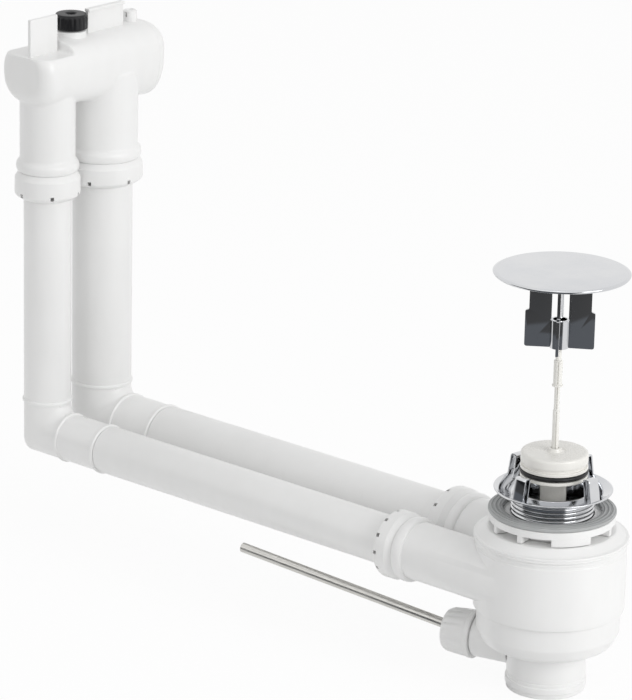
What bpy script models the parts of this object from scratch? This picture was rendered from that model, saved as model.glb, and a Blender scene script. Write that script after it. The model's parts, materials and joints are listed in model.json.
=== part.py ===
"""Basin waste with overflow: a pop-up drain whose body feeds two pipes to an overflow head.

The drain axis is +Z through the origin, which lies on top of the gasket, where the basin's underside
rests. Both pipes run towards -X and then up to the head. Lengths are in metres.
"""

import math

import bmesh
import bpy
from mathutils import Matrix, Vector

MM = 0.001
MERGE = 0.002 * MM
SMOOTH_ANGLE = math.radians(32)

# How finely round pieces are turned
FINE = 24
MEDIUM = 18
PIPE_SIDES = 16
SMALL = 12
TINY = 10
RING_SIDES = 6

# Fits
GAP = 0.3 * MM
REACH = 2.0 * MM

# Pipes and elbows
PIPE_OD = 25.0 * MM
PIPE_WALL = 1.8 * MM
PIPE_SPACING = 48.0 * MM
PIPE_DEPTH = 35.0 * MM
RISER_DISTANCE = 333.0 * MM
BEND_RADIUS = 16.0 * MM
SLEEVE_LENGTH = 28.0 * MM
RIB_HEIGHT = 0.8 * MM
RIB_WIDTH = 1.6 * MM
SPIGOT_LENGTH = 8.0 * MM
SPIGOT_WALL = 1.6 * MM
LEVEL_PIPE_START = 50.0 * MM
RISER_TOP = 133.0 * MM

# Couplings between a socket and a pipe
SOCKET_WALL = 2.2 * MM
BEAD_HEIGHT = 1.5 * MM
BEAD_WIDTH = 6.5 * MM
THREAD_DEPTH = 0.6 * MM
THREAD_LENGTH = 8.0 * MM
SEAL_LENGTH = 3.4 * MM
NUT_OD = 35.6 * MM
NUT_LENGTH = 15.0 * MM
NUT_CONE = 3.5 * MM
NUT_TAPER = 4.5 * MM
NUT_LIP = 0.8 * MM
BODY_SHOULDER = 72.0 * MM
HEAD_SHOULDER = 112.0 * MM

# Body casing, lid and bowl
CASING_OD = 77.0 * MM
CASING_WALL = 3.0 * MM
CASING_TOP = -16.8 * MM
CASING_BOTTOM = -54.5 * MM
STUB_STRAIGHT_END = -6.0 * MM
STUB_CONE_LENGTH = 12.0 * MM
STUB_CONE_DROP = 1.8 * MM
STUB_BORE_END = -20.0 * MM
RIM_OVERHANG = 0.8 * MM
RIM_HEIGHT = 2.4 * MM
LID_TOP = -10.5 * MM
LID_WALL = 2.5 * MM
LID_SLOPE_START = 33.0 * MM
LID_SLOPE_DROP = 3.4 * MM
LID_SPIGOT = 4.8 * MM
LID_SPIGOT_WALL = 4.2 * MM
LID_GROOVE = 2.2 * MM
BOWL_OD = 73.0 * MM
BOWL_WALL = 2.2 * MM
BOWL_OVERLAP = 2.6 * MM
BOWL_SEAL = 1.9 * MM
BOWL_LEDGE = 1.3 * MM
BOWL_CORNER_TOP = -71.5 * MM
BOWL_FLOOR = -80.0 * MM
OUTLET_OD = 40.4 * MM
OUTLET_END = -97.0 * MM
OUTLET_RING = 0.6 * MM
OUTLET_RING_TOP = -91.0 * MM

# Inserts in the body
SEAT_BORE = 35.4 * MM
SEAT_WALL = 1.3 * MM
SEAT_TOP = 9.2 * MM
SEAT_FLANGE = 1.9 * MM
DIVIDER_WALL = 1.5 * MM
DIVIDER_WINDOW = 20.0 * MM
SPIDER_RING_WALL = 3.0 * MM
SPIDER_HEIGHT = 2.7 * MM
SPIDER_HUB_WALL = 2.7 * MM
SPIDER_HUB_HEIGHT = 10.0 * MM
SPIDER_ARMS = 3

# Clamping of the basin
FLANGE_OD = 60.4 * MM
FLANGE_RIM_TOP = 10.6 * MM
FLANGE_SHEET = 0.9 * MM
COLLAR_WALL = 1.0 * MM
COLLAR_FLARE_TOP = 5.6 * MM
COLLAR_RINGS = 3
COLLAR_RING_DEPTH = 0.5 * MM
COLLAR_RING_PITCH = 2.0 * MM
GASKET_OD = 64.8 * MM
GASKET_WIDTH = 7.4 * MM
GASKET_HEIGHT = 2.2 * MM
CROWN_INSET = 0.4 * MM
CROWN_PLATE = 3.9 * MM
CROWN_SLEEVE_WALL = 2.6 * MM
CROWN_POSTS = 9
CROWN_POST_WIDTH = 3.0 * MM

# Clips on the strainer
CLIP_COUNT = 4
CLIP_WIDTH = 8.0 * MM
CLIP_SHEET = 0.9 * MM
CLIP_TOP = 21.8 * MM
CLIP_BASE_RADIUS = 29.2 * MM
CLIP_LEAN = 2.0 * MM
CLIP_LEAF_GAP = 2.2 * MM

# Plunger with its piston and pin
PISTON_OD = 34.2 * MM
PISTON_TOP = 29.8 * MM
PISTON_DISC = 5.1 * MM
PISTON_GROOVE = 1.9 * MM
PISTON_GROOVE_DEPTH = 1.1 * MM
PISTON_FLANGE = 1.6 * MM
PISTON_FOOT = 1.7 * MM
PISTON_ROUND = 1.2 * MM
PISTON_BOSS_OD = 6.0 * MM
PISTON_BOSS_HEIGHT = 1.6 * MM
O_RING_OD = 34.9 * MM
O_RING_SECTION = 2.3 * MM
COLUMN_OD = 13.0 * MM
COLUMN_LENGTH = 41.6 * MM
PLUNGER_ROD_OD = 8.0 * MM
PLUNGER_FOOT = -68.8 * MM
PLUNGER_SPIGOT = 5.0 * MM
PIN_OD = 3.5 * MM
PIN_STEP = 51.2 * MM
PIN_NECK_OD = 2.8 * MM
PIN_COLLAR = 63.9 * MM
PIN_COLLAR_OD = 5.6 * MM
PIN_COLLAR_HEIGHT = 0.8 * MM
PIN_HEAD_OD = 4.5 * MM
PIN_SHOULDER = 77.5 * MM
PIN_SPIGOT_OD = 3.0 * MM
PIN_TOP = 90.0 * MM

# Cover
COVER_OD = 68.8 * MM
COVER_TOP = 124.0 * MM
COVER_THICKNESS = 1.8 * MM
COVER_EDGE = 0.6 * MM
BLADE_SHEET = 1.5 * MM
BLADE_TURN = math.radians(41)
BLADE_COUNT = 4
BLADE_UPPER_RADIUS = 15.5 * MM
BLADE_LOWER_RADIUS = 17.4 * MM
BLADE_STEP = 104.0 * MM
BLADE_BOTTOM = 83.0 * MM
BLADE_INNER_RADIUS = 4.3 * MM
HUB_OD = 9.9 * MM
HUB_WALL = 1.4 * MM
HUB_HEIGHT = 15.9 * MM
STEM_OD = 3.0 * MM

# Lever
LEVER_YAW = math.radians(14)
LEVER_TILT = math.radians(9.2)
LEVER_HEIGHT = -77.3 * MM
BALL_DISTANCE = 44.0 * MM
BALL_OD = 13.0 * MM
LEVER_OD = 5.2 * MM
LEVER_OUTER = 134.0 * MM
LEVER_INNER = 46.5 * MM
BOSS_OD = 22.4 * MM
BOSS_END = 51.0 * MM
BOSS_THREAD_OD = 19.8 * MM
BOSS_THREAD_LENGTH = 12.0 * MM
BOSS_BORE = 15.0 * MM
BOSS_CUP = 16.6 * MM
BOSS_CUP_DEPTH = 11.5 * MM
BALL_SEAT_LENGTH = 2.6 * MM
GLAND_START = 1.8 * MM
LEVER_NUT_OD = 25.4 * MM
LEVER_NUT_END_OD = 22.6 * MM
LEVER_NUT_LENGTH = 16.5 * MM
LEVER_NUT_START = 39.0 * MM
LEVER_NUT_MOUTH = 18.4 * MM
LEVER_NUT_FLUTES = 18
LEVER_NUT_FLUTE_DEPTH = 0.7 * MM

# Overflow head
HEAD_AXIS = 167.5 * MM
HEAD_OD = 39.0 * MM
HEAD_WALL = 2.2 * MM
HEAD_NEAR_END = -44.5 * MM
HEAD_FAR_END = 53.5 * MM
HEAD_ROUND = 12.5 * MM
HEAD_CAP_DEPTH = 4.5 * MM
LEDGE_TOP = 180.0 * MM
LEDGE_END = -19.0 * MM
PLATE_THICKNESS = 2.1 * MM
PLATE_OFFSET = 3.0 * MM
NEAR_PLATE_START = -41.0 * MM
NEAR_PLATE_WIDTH = 20.5 * MM
NEAR_PLATE_TOP = 200.0 * MM
FAR_PLATE_START = 5.0 * MM
FAR_PLATE_WIDTH = 30.0 * MM
FAR_PLATE_TOP = 198.3 * MM
FAR_PLATE_LIP = 1.4 * MM
WEIR_THICKNESS = 2.0 * MM
WEIR_TOP = 176.0 * MM
KNOB_PLACE = -6.2 * MM
KNOB_OD = 17.8 * MM
KNOB_BOTTOM = 187.8 * MM
KNOB_HEIGHT = 11.6 * MM
KNOB_RIDGES = 20
KNOB_RIDGE_DEPTH = 0.35 * MM
KNOB_SOCKET_OD = 5.0 * MM
KNOB_SOCKET_DEPTH = 5.0 * MM
KNOB_SCREW_OD = 6.0 * MM
BUSH_OD = 12.4 * MM
BUSH_WALL = 1.9 * MM
BUSH_BOTTOM = 178.0 * MM
STUD_INSET = 13.8 * MM
STUD_OD = 7.6 * MM
STUD_HEIGHT = 5.4 * MM
STUD_SHANK_OD = 4.6 * MM
STUD_SHANK_LENGTH = 6.0 * MM

# Sizes that follow from those above
PIPE_R = PIPE_OD / 2
PIPE_BORE_R = PIPE_R - PIPE_WALL
SOCKET_BORE_R = PIPE_R + GAP
SOCKET_R = SOCKET_BORE_R + SOCKET_WALL
THREAD_R = SOCKET_R - THREAD_DEPTH
CASING_R = CASING_OD / 2
CASING_BORE_R = CASING_R - CASING_WALL
BOWL_R = BOWL_OD / 2
SEAT_BORE_R = SEAT_BORE / 2
SEAT_R = SEAT_BORE_R + SEAT_WALL
COLLAR_BORE_R = SEAT_R + 2 * GAP
COLLAR_R = COLLAR_BORE_R + COLLAR_WALL
LID_CEILING = LID_TOP - LID_WALL
SEAT_FLANGE_R = SEAT_R + SEAT_FLANGE
DIVIDER_BORE_R = SEAT_FLANGE_R + GAP
DIVIDER_R = DIVIDER_BORE_R + DIVIDER_WALL
GASKET_R = GASKET_OD / 2
GASKET_BORE_R = GASKET_R - GASKET_WIDTH
CROWN_R = GASKET_R - CROWN_INSET
CROWN_TOP = -GASKET_HEIGHT - GAP
CROWN_BOTTOM = LID_TOP + GAP
BOWL_TOP = CASING_BOTTOM + BOWL_OVERLAP
BOWL_LEDGE_TOP = BOWL_TOP - SPIDER_HEIGHT - GAP
SPIDER_BOTTOM = BOWL_LEDGE_TOP + GAP
SPIDER_TOP = SPIDER_BOTTOM + SPIDER_HEIGHT
PLUNGER_ROD_R = PLUNGER_ROD_OD / 2
O_RING_TOP = PISTON_TOP - PISTON_DISC - PISTON_GROOVE - PISTON_FLANGE
O_RING_BOTTOM = O_RING_TOP - O_RING_SECTION - 2 * GAP
PISTON_FOOT_BOTTOM = O_RING_BOTTOM - PISTON_FOOT
COVER_UNDER = COVER_TOP - COVER_THICKNESS
HUB_TOP = BLADE_BOTTOM + HUB_HEIGHT
HEAD_R = HEAD_OD / 2
HEAD_SEAM = HEAD_FAR_END - HEAD_CAP_DEPTH
STUD_PLACE = HEAD_FAR_END - STUD_INSET
LEVER_DIRECTION = Vector((-math.cos(LEVER_YAW), -math.sin(LEVER_YAW), 0.0))


def clear_scene():
    """Remove whatever the file opened with."""
    for item in list(bpy.data.objects):
        bpy.data.objects.remove(item)


def principled(name, colour, roughness, metallic=0.0):
    """Return a Principled material of one colour."""
    made = bpy.data.materials.new(name)
    made.use_nodes = True
    shader = made.node_tree.nodes["Principled BSDF"]
    shader.inputs["Base Color"].default_value = (*colour, 1.0)
    shader.inputs["Roughness"].default_value = roughness
    shader.inputs["Metallic"].default_value = metallic
    made.diffuse_color = (*colour, 1.0)
    return made


def make_object(name, shape, finish=None, parent=None, place=(0.0, 0.0, 0.0), turn=None):
    """Turn a bmesh into a smooth-shaded object in the scene."""
    mesh = bpy.data.meshes.new(name)
    shape.to_mesh(mesh)
    shape.free()
    mesh.shade_smooth()
    mesh.set_sharp_from_angle(angle=SMOOTH_ANGLE)
    if finish:
        mesh.materials.append(finish)
    made = bpy.data.objects.new(name, mesh)
    bpy.context.scene.collection.objects.link(made)
    made.matrix_world = Matrix.Translation(place) @ (turn.to_4x4() if turn else Matrix())
    if parent:
        made.parent = parent
        made.matrix_parent_inverse = Matrix.Translation(parent.location).inverted()
    return made


def pivot(name, place=(0.0, 0.0, 0.0), parent=None):
    """Return an empty on a joint's axis, to carry the pieces that move there."""
    made = bpy.data.objects.new(name, None)
    made.location = place
    if parent:
        made.parent = parent
        made.matrix_parent_inverse = Matrix.Translation(parent.location).inverted()
    bpy.context.scene.collection.objects.link(made)
    return made


def turned(outline, sides):
    """Turn an outline of (radius, height) points about +Z into a closed shape."""
    shape = bmesh.new()
    points = [shape.verts.new((radius, 0.0, height)) for radius, height in outline]
    edges = [shape.edges.new(pair) for pair in zip(points, points[1:])]
    if outline[0][0] > 0.0 or outline[-1][0] > 0.0:
        edges.append(shape.edges.new((points[-1], points[0])))
    bmesh.ops.spin(
        shape, geom=points + edges, cent=(0, 0, 0), axis=(0, 0, 1), angle=math.tau, steps=sides, use_merge=True
    )
    bmesh.ops.remove_doubles(shape, verts=shape.verts, dist=MERGE)
    bmesh.ops.recalc_face_normals(shape, faces=shape.faces)
    return shape


def box(low, high):
    """Return a box between two corners."""
    shape = bmesh.new()
    size = [b - a for a, b in zip(low, high)]
    middle = [(a + b) / 2 for a, b in zip(low, high)]
    bmesh.ops.create_cube(shape, size=1.0)
    bmesh.ops.scale(shape, vec=size, verts=shape.verts)
    bmesh.ops.translate(shape, vec=middle, verts=shape.verts)
    return shape


def prism(outline, thickness):
    """Extrude an outline of (x, z) points to both sides of the XZ plane."""
    shape = bmesh.new()
    points = [shape.verts.new((x, -thickness / 2, z)) for x, z in outline]
    face = shape.faces.new(points)
    grown = bmesh.ops.extrude_face_region(shape, geom=[face])
    moved = [item for item in grown["geom"] if isinstance(item, bmesh.types.BMVert)]
    bmesh.ops.translate(shape, vec=(0.0, thickness, 0.0), verts=moved)
    bmesh.ops.recalc_face_normals(shape, faces=shape.faces)
    return shape


def ridged(shape, radius, count, depth):
    """Press flutes into the outer wall of a turned shape, one between each pair of ridges."""
    for point in shape.verts:
        here = math.hypot(point.co.x, point.co.y)
        if here < radius:
            continue
        turn = math.atan2(point.co.y, point.co.x)
        sink = depth * (0.5 - 0.5 * math.cos(count * turn))
        point.co.x *= (here - sink) / here
        point.co.y *= (here - sink) / here
    return shape


def arc(centre, radius, start, end, steps):
    """Return points of (radius, height) on an arc between two angles in degrees."""
    points = []
    for step in range(steps + 1):
        angle = math.radians(start + (end - start) * step / steps)
        points.append((centre[0] + radius * math.cos(angle), centre[1] + radius * math.sin(angle)))
    return points


def ring_section(centre, radius):
    """Return the outline of a rubber ring's round section."""
    return arc(centre, radius, 0, 360, RING_SIDES)[:-1]


def tool(name, shape, place=(0.0, 0.0, 0.0), turn=None):
    """Return a hidden object that only shapes others."""
    made = make_object(name, shape, place=place, turn=turn)
    made.hide_render = True
    made.display_type = "WIRE"
    return made


def combine(target, other, operation):
    """Cut, join or intersect an object with a tool."""
    step = target.modifiers.new(other.name, "BOOLEAN")
    step.operation = operation
    step.solver = "EXACT"
    step.object = other


def along(direction):
    """Return the turn that takes +Z to a direction."""
    return Vector(direction).to_track_quat("Z", "Y").to_matrix()


def sides_y():
    """Return the name and the Y of each pipe, front first."""
    return (("front", -PIPE_SPACING / 2), ("back", PIPE_SPACING / 2))


def socket_outline(length):
    """Return a socket's solid outline, its shoulder at height 0 and its threaded end upwards."""
    bead = arc((SOCKET_R, -BEAD_WIDTH / 2), BEAD_WIDTH / 2, -90, 90, 5)
    squash = BEAD_HEIGHT / (BEAD_WIDTH / 2)
    bead = [(SOCKET_R + (radius - SOCKET_R) * squash, height) for radius, height in bead]
    return (
        [(0.0, -length), (SOCKET_R, -length)]
        + bead
        + [(THREAD_R, 0.0), (THREAD_R, THREAD_LENGTH), (0.0, THREAD_LENGTH)]
    )


def coupling_nut(name, place, direction, finish, parent=None):
    """Make a union nut that squeezes a seal onto the pipe."""
    inner = THREAD_R + GAP
    floor = THREAD_LENGTH + SEAL_LENGTH + 2 * GAP
    outline = [
        (inner, GAP),
        (inner + NUT_LIP, GAP),
        (NUT_OD / 2, NUT_CONE),
        (NUT_OD / 2, NUT_LENGTH - NUT_TAPER),
        (SOCKET_BORE_R + NUT_LIP, NUT_LENGTH),
        (SOCKET_BORE_R, NUT_LENGTH),
        (SOCKET_BORE_R, floor),
        (inner, floor),
    ]
    return make_object(name, turned(outline, PIPE_SIDES), finish, parent, place, along(direction))


def pipe_seal(name, place, direction, finish, parent=None):
    """Make the lip seal between a socket's end and its nut."""
    bottom = THREAD_LENGTH + GAP
    top = bottom + SEAL_LENGTH - GAP
    outline = [
        (SOCKET_BORE_R, bottom),
        (THREAD_R - GAP, bottom),
        (THREAD_R - GAP, top - GAP),
        (THREAD_R - 2 * GAP, top),
        (SOCKET_BORE_R, top),
    ]
    return make_object(name, turned(outline, PIPE_SIDES), finish, parent, place, along(direction))


def make_finishes():
    """Return the materials, by name."""
    return {
        "white": principled("white_polypropylene", (0.86, 0.86, 0.85), 0.38),
        "cream": principled("cream_acetal", (0.84, 0.83, 0.79), 0.35),
        "chrome": principled("chrome_plate", (0.78, 0.79, 0.80), 0.08, 1.0),
        "steel": principled("stainless_steel", (0.52, 0.51, 0.49), 0.28, 1.0),
        "grey": principled("grey_gasket_rubber", (0.26, 0.27, 0.27), 0.6),
        "black": principled("black_rubber", (0.02, 0.02, 0.02), 0.5),
        "knob": principled("black_plastic", (0.015, 0.015, 0.015), 0.45),
    }


def make_casing(finish):
    """Make the body casing with its two pipe stubs."""
    casing = make_object("body_casing", turned([
        (0.0, CASING_BOTTOM),
        (CASING_R, CASING_BOTTOM),
        (CASING_R, CASING_TOP),
        (0.0, CASING_TOP),
    ], FINE), finish)
    turn = along((-1, 0, 0))
    for name, y in sides_y():
        place = (-BODY_SHOULDER, y, -PIPE_DEPTH)
        straight = BODY_SHOULDER + STUB_STRAIGHT_END
        cone_end = -straight - STUB_CONE_LENGTH
        outline = [(0.0, cone_end), (SOCKET_R - STUB_CONE_DROP, cone_end)] + socket_outline(straight)[1:]
        combine(casing, tool(f"stub_{name}", turned(outline, PIPE_SIDES), place, turn), "UNION")
    combine(casing, tool("casing_cavity", turned([
        (0.0, CASING_BOTTOM - REACH),
        (BOWL_R + GAP, CASING_BOTTOM - REACH),
        (BOWL_R + GAP, BOWL_TOP + BOWL_SEAL + GAP),
        (CASING_BORE_R, BOWL_TOP + BOWL_SEAL + GAP),
        (CASING_BORE_R, CASING_TOP + REACH),
        (0.0, CASING_TOP + REACH),
    ], FINE)), "DIFFERENCE")
    for name, y in sides_y():
        place = (-BODY_SHOULDER, y, -PIPE_DEPTH)
        outline = [
            (0.0, -BODY_SHOULDER - STUB_BORE_END),
            (SOCKET_BORE_R, -BODY_SHOULDER - STUB_BORE_END),
            (SOCKET_BORE_R, THREAD_LENGTH + REACH),
            (0.0, THREAD_LENGTH + REACH),
        ]
        combine(casing, tool(f"stub_bore_{name}", turned(outline, PIPE_SIDES), place, turn), "DIFFERENCE")


def make_lid(white, black):
    """Make the lid that closes the casing, and its seal."""
    rim_r = CASING_R + RIM_OVERHANG
    spigot_r = CASING_BORE_R - GAP
    spigot_inner = spigot_r - LID_SPIGOT_WALL
    rim_bottom = CASING_TOP + GAP
    groove_top = rim_bottom - LID_GROOVE / 2
    groove_bottom = groove_top - LID_GROOVE
    groove_r = spigot_r - LID_GROOVE
    make_object("body_lid", turned([
        (SEAT_R + GAP, LID_TOP),
        (LID_SLOPE_START, LID_TOP),
        (CASING_R - RIM_OVERHANG, LID_TOP - LID_SLOPE_DROP),
        (rim_r, rim_bottom + RIM_HEIGHT),
        (rim_r, rim_bottom),
        (spigot_r, rim_bottom),
        (spigot_r, groove_top),
        (groove_r, groove_top),
        (groove_r, groove_bottom),
        (spigot_r, groove_bottom),
        (spigot_r, rim_bottom - LID_SPIGOT),
        (spigot_inner, rim_bottom - LID_SPIGOT),
        (spigot_inner, rim_bottom),
        (LID_SLOPE_START - LID_WALL, LID_CEILING),
        (SEAT_R + GAP, LID_CEILING),
    ], FINE), white)
    section = (LID_GROOVE - GAP) / 2
    middle = (spigot_r - section, (groove_top + groove_bottom) / 2)
    make_object("lid_seal", turned(ring_section(middle, section), FINE), black)


def make_bowl(white, black):
    """Make the lower bowl with its outlet and lever boss, and its seal."""
    outlet_r = OUTLET_OD / 2
    corner = BOWL_CORNER_TOP - BOWL_FLOOR
    floor_inside = BOWL_FLOOR + BOWL_WALL
    bowl = make_object("lower_bowl", turned(
        [(0.0, BOWL_TOP), (BOWL_R, BOWL_TOP)]
        + arc((BOWL_R - corner, BOWL_CORNER_TOP), corner, 0, -75, 4)
        + [
            (outlet_r, BOWL_FLOOR),
            (outlet_r, OUTLET_RING_TOP),
            (outlet_r + OUTLET_RING, OUTLET_RING_TOP - OUTLET_RING),
            (outlet_r + OUTLET_RING, OUTLET_END + OUTLET_RING),
            (outlet_r, OUTLET_END),
            (0.0, OUTLET_END),
        ],
        FINE,
    ), white)
    turn = along(LEVER_DIRECTION)
    place = (0.0, 0.0, LEVER_HEIGHT)
    thread_start = BOSS_END - BOSS_THREAD_LENGTH
    combine(bowl, tool("lever_boss", turned([
        (0.0, outlet_r - REACH),
        (BOSS_OD / 2, outlet_r - REACH),
        (BOSS_OD / 2, thread_start),
        (BOSS_THREAD_OD / 2, thread_start),
        (BOSS_THREAD_OD / 2, BOSS_END),
        (0.0, BOSS_END),
    ], MEDIUM), place, turn), "UNION")
    combine(bowl, tool("bowl_cavity", turned(
        [
            (0.0, BOWL_TOP + REACH),
            (BOWL_R - BOWL_WALL, BOWL_TOP + REACH),
            (BOWL_R - BOWL_WALL, BOWL_LEDGE_TOP),
            (BOWL_R - BOWL_WALL - BOWL_LEDGE, BOWL_LEDGE_TOP),
        ]
        + arc((BOWL_R - corner, BOWL_CORNER_TOP), corner - BOWL_WALL - BOWL_LEDGE, 0, -80, 3)
        + [
            (outlet_r - BOWL_WALL, floor_inside),
            (outlet_r - BOWL_WALL, OUTLET_END - REACH),
            (0.0, OUTLET_END - REACH),
        ],
        FINE,
    )), "DIFFERENCE")
    combine(bowl, tool("boss_bore", turned([
        (0.0, 0.0),
        (BOSS_BORE / 2, 0.0),
        (BOSS_BORE / 2, BOSS_END - BOSS_CUP_DEPTH),
        (BOSS_CUP / 2, BOSS_END - BOSS_CUP_DEPTH),
        (BOSS_CUP / 2, BOSS_END + REACH),
        (0.0, BOSS_END + REACH),
    ], SMALL), place, turn), "DIFFERENCE")
    make_object("bowl_seal", turned([
        (BOWL_R - BOWL_WALL + GAP, BOWL_TOP + GAP),
        (BOWL_R, BOWL_TOP + GAP),
        (BOWL_R, BOWL_TOP + BOWL_SEAL),
        (BOWL_R - BOWL_WALL + GAP, BOWL_TOP + BOWL_SEAL),
    ], FINE), black)


def make_inserts(white):
    """Make the seat tube, the flow divider and the spider that guides the plunger."""
    seat_foot = LID_CEILING - GAP - SEAT_FLANGE
    make_object("seat_tube", turned([
        (SEAT_BORE_R + GAP, SEAT_TOP),
        (SEAT_R, SEAT_TOP),
        (SEAT_R, LID_CEILING - GAP),
        (SEAT_FLANGE_R, LID_CEILING - GAP),
        (SEAT_FLANGE_R, seat_foot),
        (SEAT_BORE_R, seat_foot),
        (SEAT_BORE_R, SEAT_TOP - SEAT_WALL),
    ], FINE), white)
    top = LID_CEILING - GAP
    bottom = SPIDER_TOP + GAP
    divider = make_object("flow_divider", turned([
        (DIVIDER_BORE_R, bottom),
        (DIVIDER_R, bottom),
        (DIVIDER_R, top),
        (DIVIDER_BORE_R, top),
    ], FINE), white)
    web_top = CASING_TOP - LID_SPIGOT - GAP
    web_bottom = BOWL_TOP + BOWL_SEAL + 2 * GAP
    for side, name in ((-1, "rear"), (1, "fore")):
        ends = sorted((side * (DIVIDER_R - DIVIDER_WALL / 2), side * (CASING_BORE_R - GAP)))
        web = box((ends[0], -DIVIDER_WALL / 2, web_bottom), (ends[1], DIVIDER_WALL / 2, web_top))
        combine(divider, tool(f"web_{name}", web), "UNION")
    window = box(
        (-DIVIDER_WINDOW / 2, 0.0, -PIPE_DEPTH - PIPE_R),
        (DIVIDER_WINDOW / 2, DIVIDER_R + REACH, -PIPE_DEPTH + PIPE_R),
    )
    combine(divider, tool("divider_window", window), "DIFFERENCE")
    ring_r = BOWL_R - BOWL_WALL - GAP
    hub_bore = PLUNGER_ROD_R + GAP
    hub_r = hub_bore + SPIDER_HUB_WALL
    spider = make_object("guide_spider", turned([
        (hub_bore, SPIDER_BOTTOM),
        (hub_r, SPIDER_BOTTOM),
        (hub_r, SPIDER_BOTTOM + SPIDER_HUB_HEIGHT),
        (hub_bore, SPIDER_BOTTOM + SPIDER_HUB_HEIGHT),
    ], SMALL), white)
    combine(spider, tool("spider_ring", turned([
        (ring_r - SPIDER_RING_WALL, SPIDER_BOTTOM),
        (ring_r, SPIDER_BOTTOM),
        (ring_r, SPIDER_TOP),
        (ring_r - SPIDER_RING_WALL, SPIDER_TOP),
    ], FINE)), "UNION")
    for arm in range(SPIDER_ARMS):
        turn = Matrix.Rotation(math.tau * (arm + 0.5) / SPIDER_ARMS, 3, "Z")
        bar = box(
            (hub_r - SPIDER_HUB_WALL / 2, -SPIDER_HUB_WALL / 2, SPIDER_BOTTOM + GAP),
            (ring_r - SPIDER_RING_WALL / 2, SPIDER_HUB_WALL / 2, SPIDER_TOP - GAP),
        )
        combine(spider, tool(f"spider_arm_{arm}", bar, turn=turn), "UNION")


def make_clamping(finishes):
    """Make the strainer flange, the gasket and the crown nut that clamp the basin."""
    flange_r = FLANGE_OD / 2
    rings = []
    for ring in range(COLLAR_RINGS):
        top = COLLAR_FLARE_TOP - FLANGE_SHEET - COLLAR_RING_PITCH * (ring + 0.5)
        rings += [(COLLAR_R, top), (COLLAR_R + COLLAR_RING_DEPTH, top - COLLAR_RING_PITCH / 2)]
    make_object("strainer_flange", turned(
        [
            (COLLAR_BORE_R, COLLAR_FLARE_TOP),
            (COLLAR_BORE_R + FLANGE_SHEET, COLLAR_FLARE_TOP + FLANGE_SHEET),
            (flange_r - FLANGE_SHEET, FLANGE_RIM_TOP - FLANGE_SHEET / 3),
            (flange_r, FLANGE_RIM_TOP),
            (flange_r, FLANGE_RIM_TOP - FLANGE_SHEET / 2),
            (COLLAR_R + 2 * FLANGE_SHEET, COLLAR_FLARE_TOP),
        ]
        + rings
        + [(COLLAR_R, CROWN_BOTTOM), (COLLAR_BORE_R, CROWN_BOTTOM)],
        FINE,
    ), finishes["chrome"])
    make_object("basin_gasket", turned([
        (GASKET_BORE_R, -GASKET_HEIGHT),
        (GASKET_R - GAP, -GASKET_HEIGHT),
        (GASKET_R, -GASKET_HEIGHT + GAP),
        (GASKET_R, -GAP),
        (GASKET_R - GAP, 0.0),
        (GASKET_BORE_R, 0.0),
    ], FINE), finishes["grey"])
    bore = COLLAR_R + COLLAR_RING_DEPTH + GAP
    sleeve_r = bore + CROWN_SLEEVE_WALL
    crown = make_object("crown_nut", turned([
        (bore, CROWN_BOTTOM),
        (sleeve_r, CROWN_BOTTOM),
        (sleeve_r, CROWN_TOP - CROWN_PLATE),
        (CROWN_R, CROWN_TOP - CROWN_PLATE),
        (CROWN_R, CROWN_TOP),
        (bore, CROWN_TOP),
    ], FINE), finishes["white"])
    for post in range(CROWN_POSTS):
        turn = Matrix.Rotation(math.tau * post / CROWN_POSTS, 3, "Z")
        block = box(
            (sleeve_r - CROWN_SLEEVE_WALL / 2, -CROWN_POST_WIDTH / 2, CROWN_BOTTOM),
            (CROWN_R - GAP, CROWN_POST_WIDTH / 2, CROWN_TOP - CROWN_PLATE / 2),
        )
        combine(crown, tool(f"crown_post_{post}", block, turn=turn), "UNION")


def make_clips(finish):
    """Make the folded spring clips that stand on the flange and steady the cover."""
    slope = (FLANGE_RIM_TOP - COLLAR_FLARE_TOP - FLANGE_SHEET) / (FLANGE_OD / 2 - COLLAR_BORE_R - FLANGE_SHEET)
    outer = CLIP_BASE_RADIUS
    inner = outer - 2 * CLIP_SHEET - CLIP_LEAF_GAP

    def foot(radius):
        """Return the height just above the flange's dish at a radius."""
        return FLANGE_RIM_TOP - slope * (FLANGE_OD / 2 - radius) + GAP

    outline = [
        (outer, foot(outer)),
        (outer - CLIP_LEAN, CLIP_TOP - CLIP_SHEET),
        (outer - CLIP_LEAN - CLIP_SHEET, CLIP_TOP),
        (inner - CLIP_LEAN + CLIP_SHEET, CLIP_TOP),
        (inner - CLIP_LEAN, CLIP_TOP - CLIP_SHEET),
        (inner, foot(inner)),
        (inner + CLIP_SHEET, foot(inner + CLIP_SHEET)),
        (inner - CLIP_LEAN + CLIP_SHEET, CLIP_TOP - CLIP_SHEET),
        (outer - CLIP_LEAN - CLIP_SHEET, CLIP_TOP - CLIP_SHEET),
        (outer - CLIP_SHEET, foot(outer - CLIP_SHEET)),
    ]
    for clip in range(CLIP_COUNT):
        turn = Matrix.Rotation(math.tau * clip / CLIP_COUNT, 3, "Z")
        make_object(f"spring_clip_{clip + 1}", prism(outline, CLIP_WIDTH), finish, turn=turn)


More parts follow.
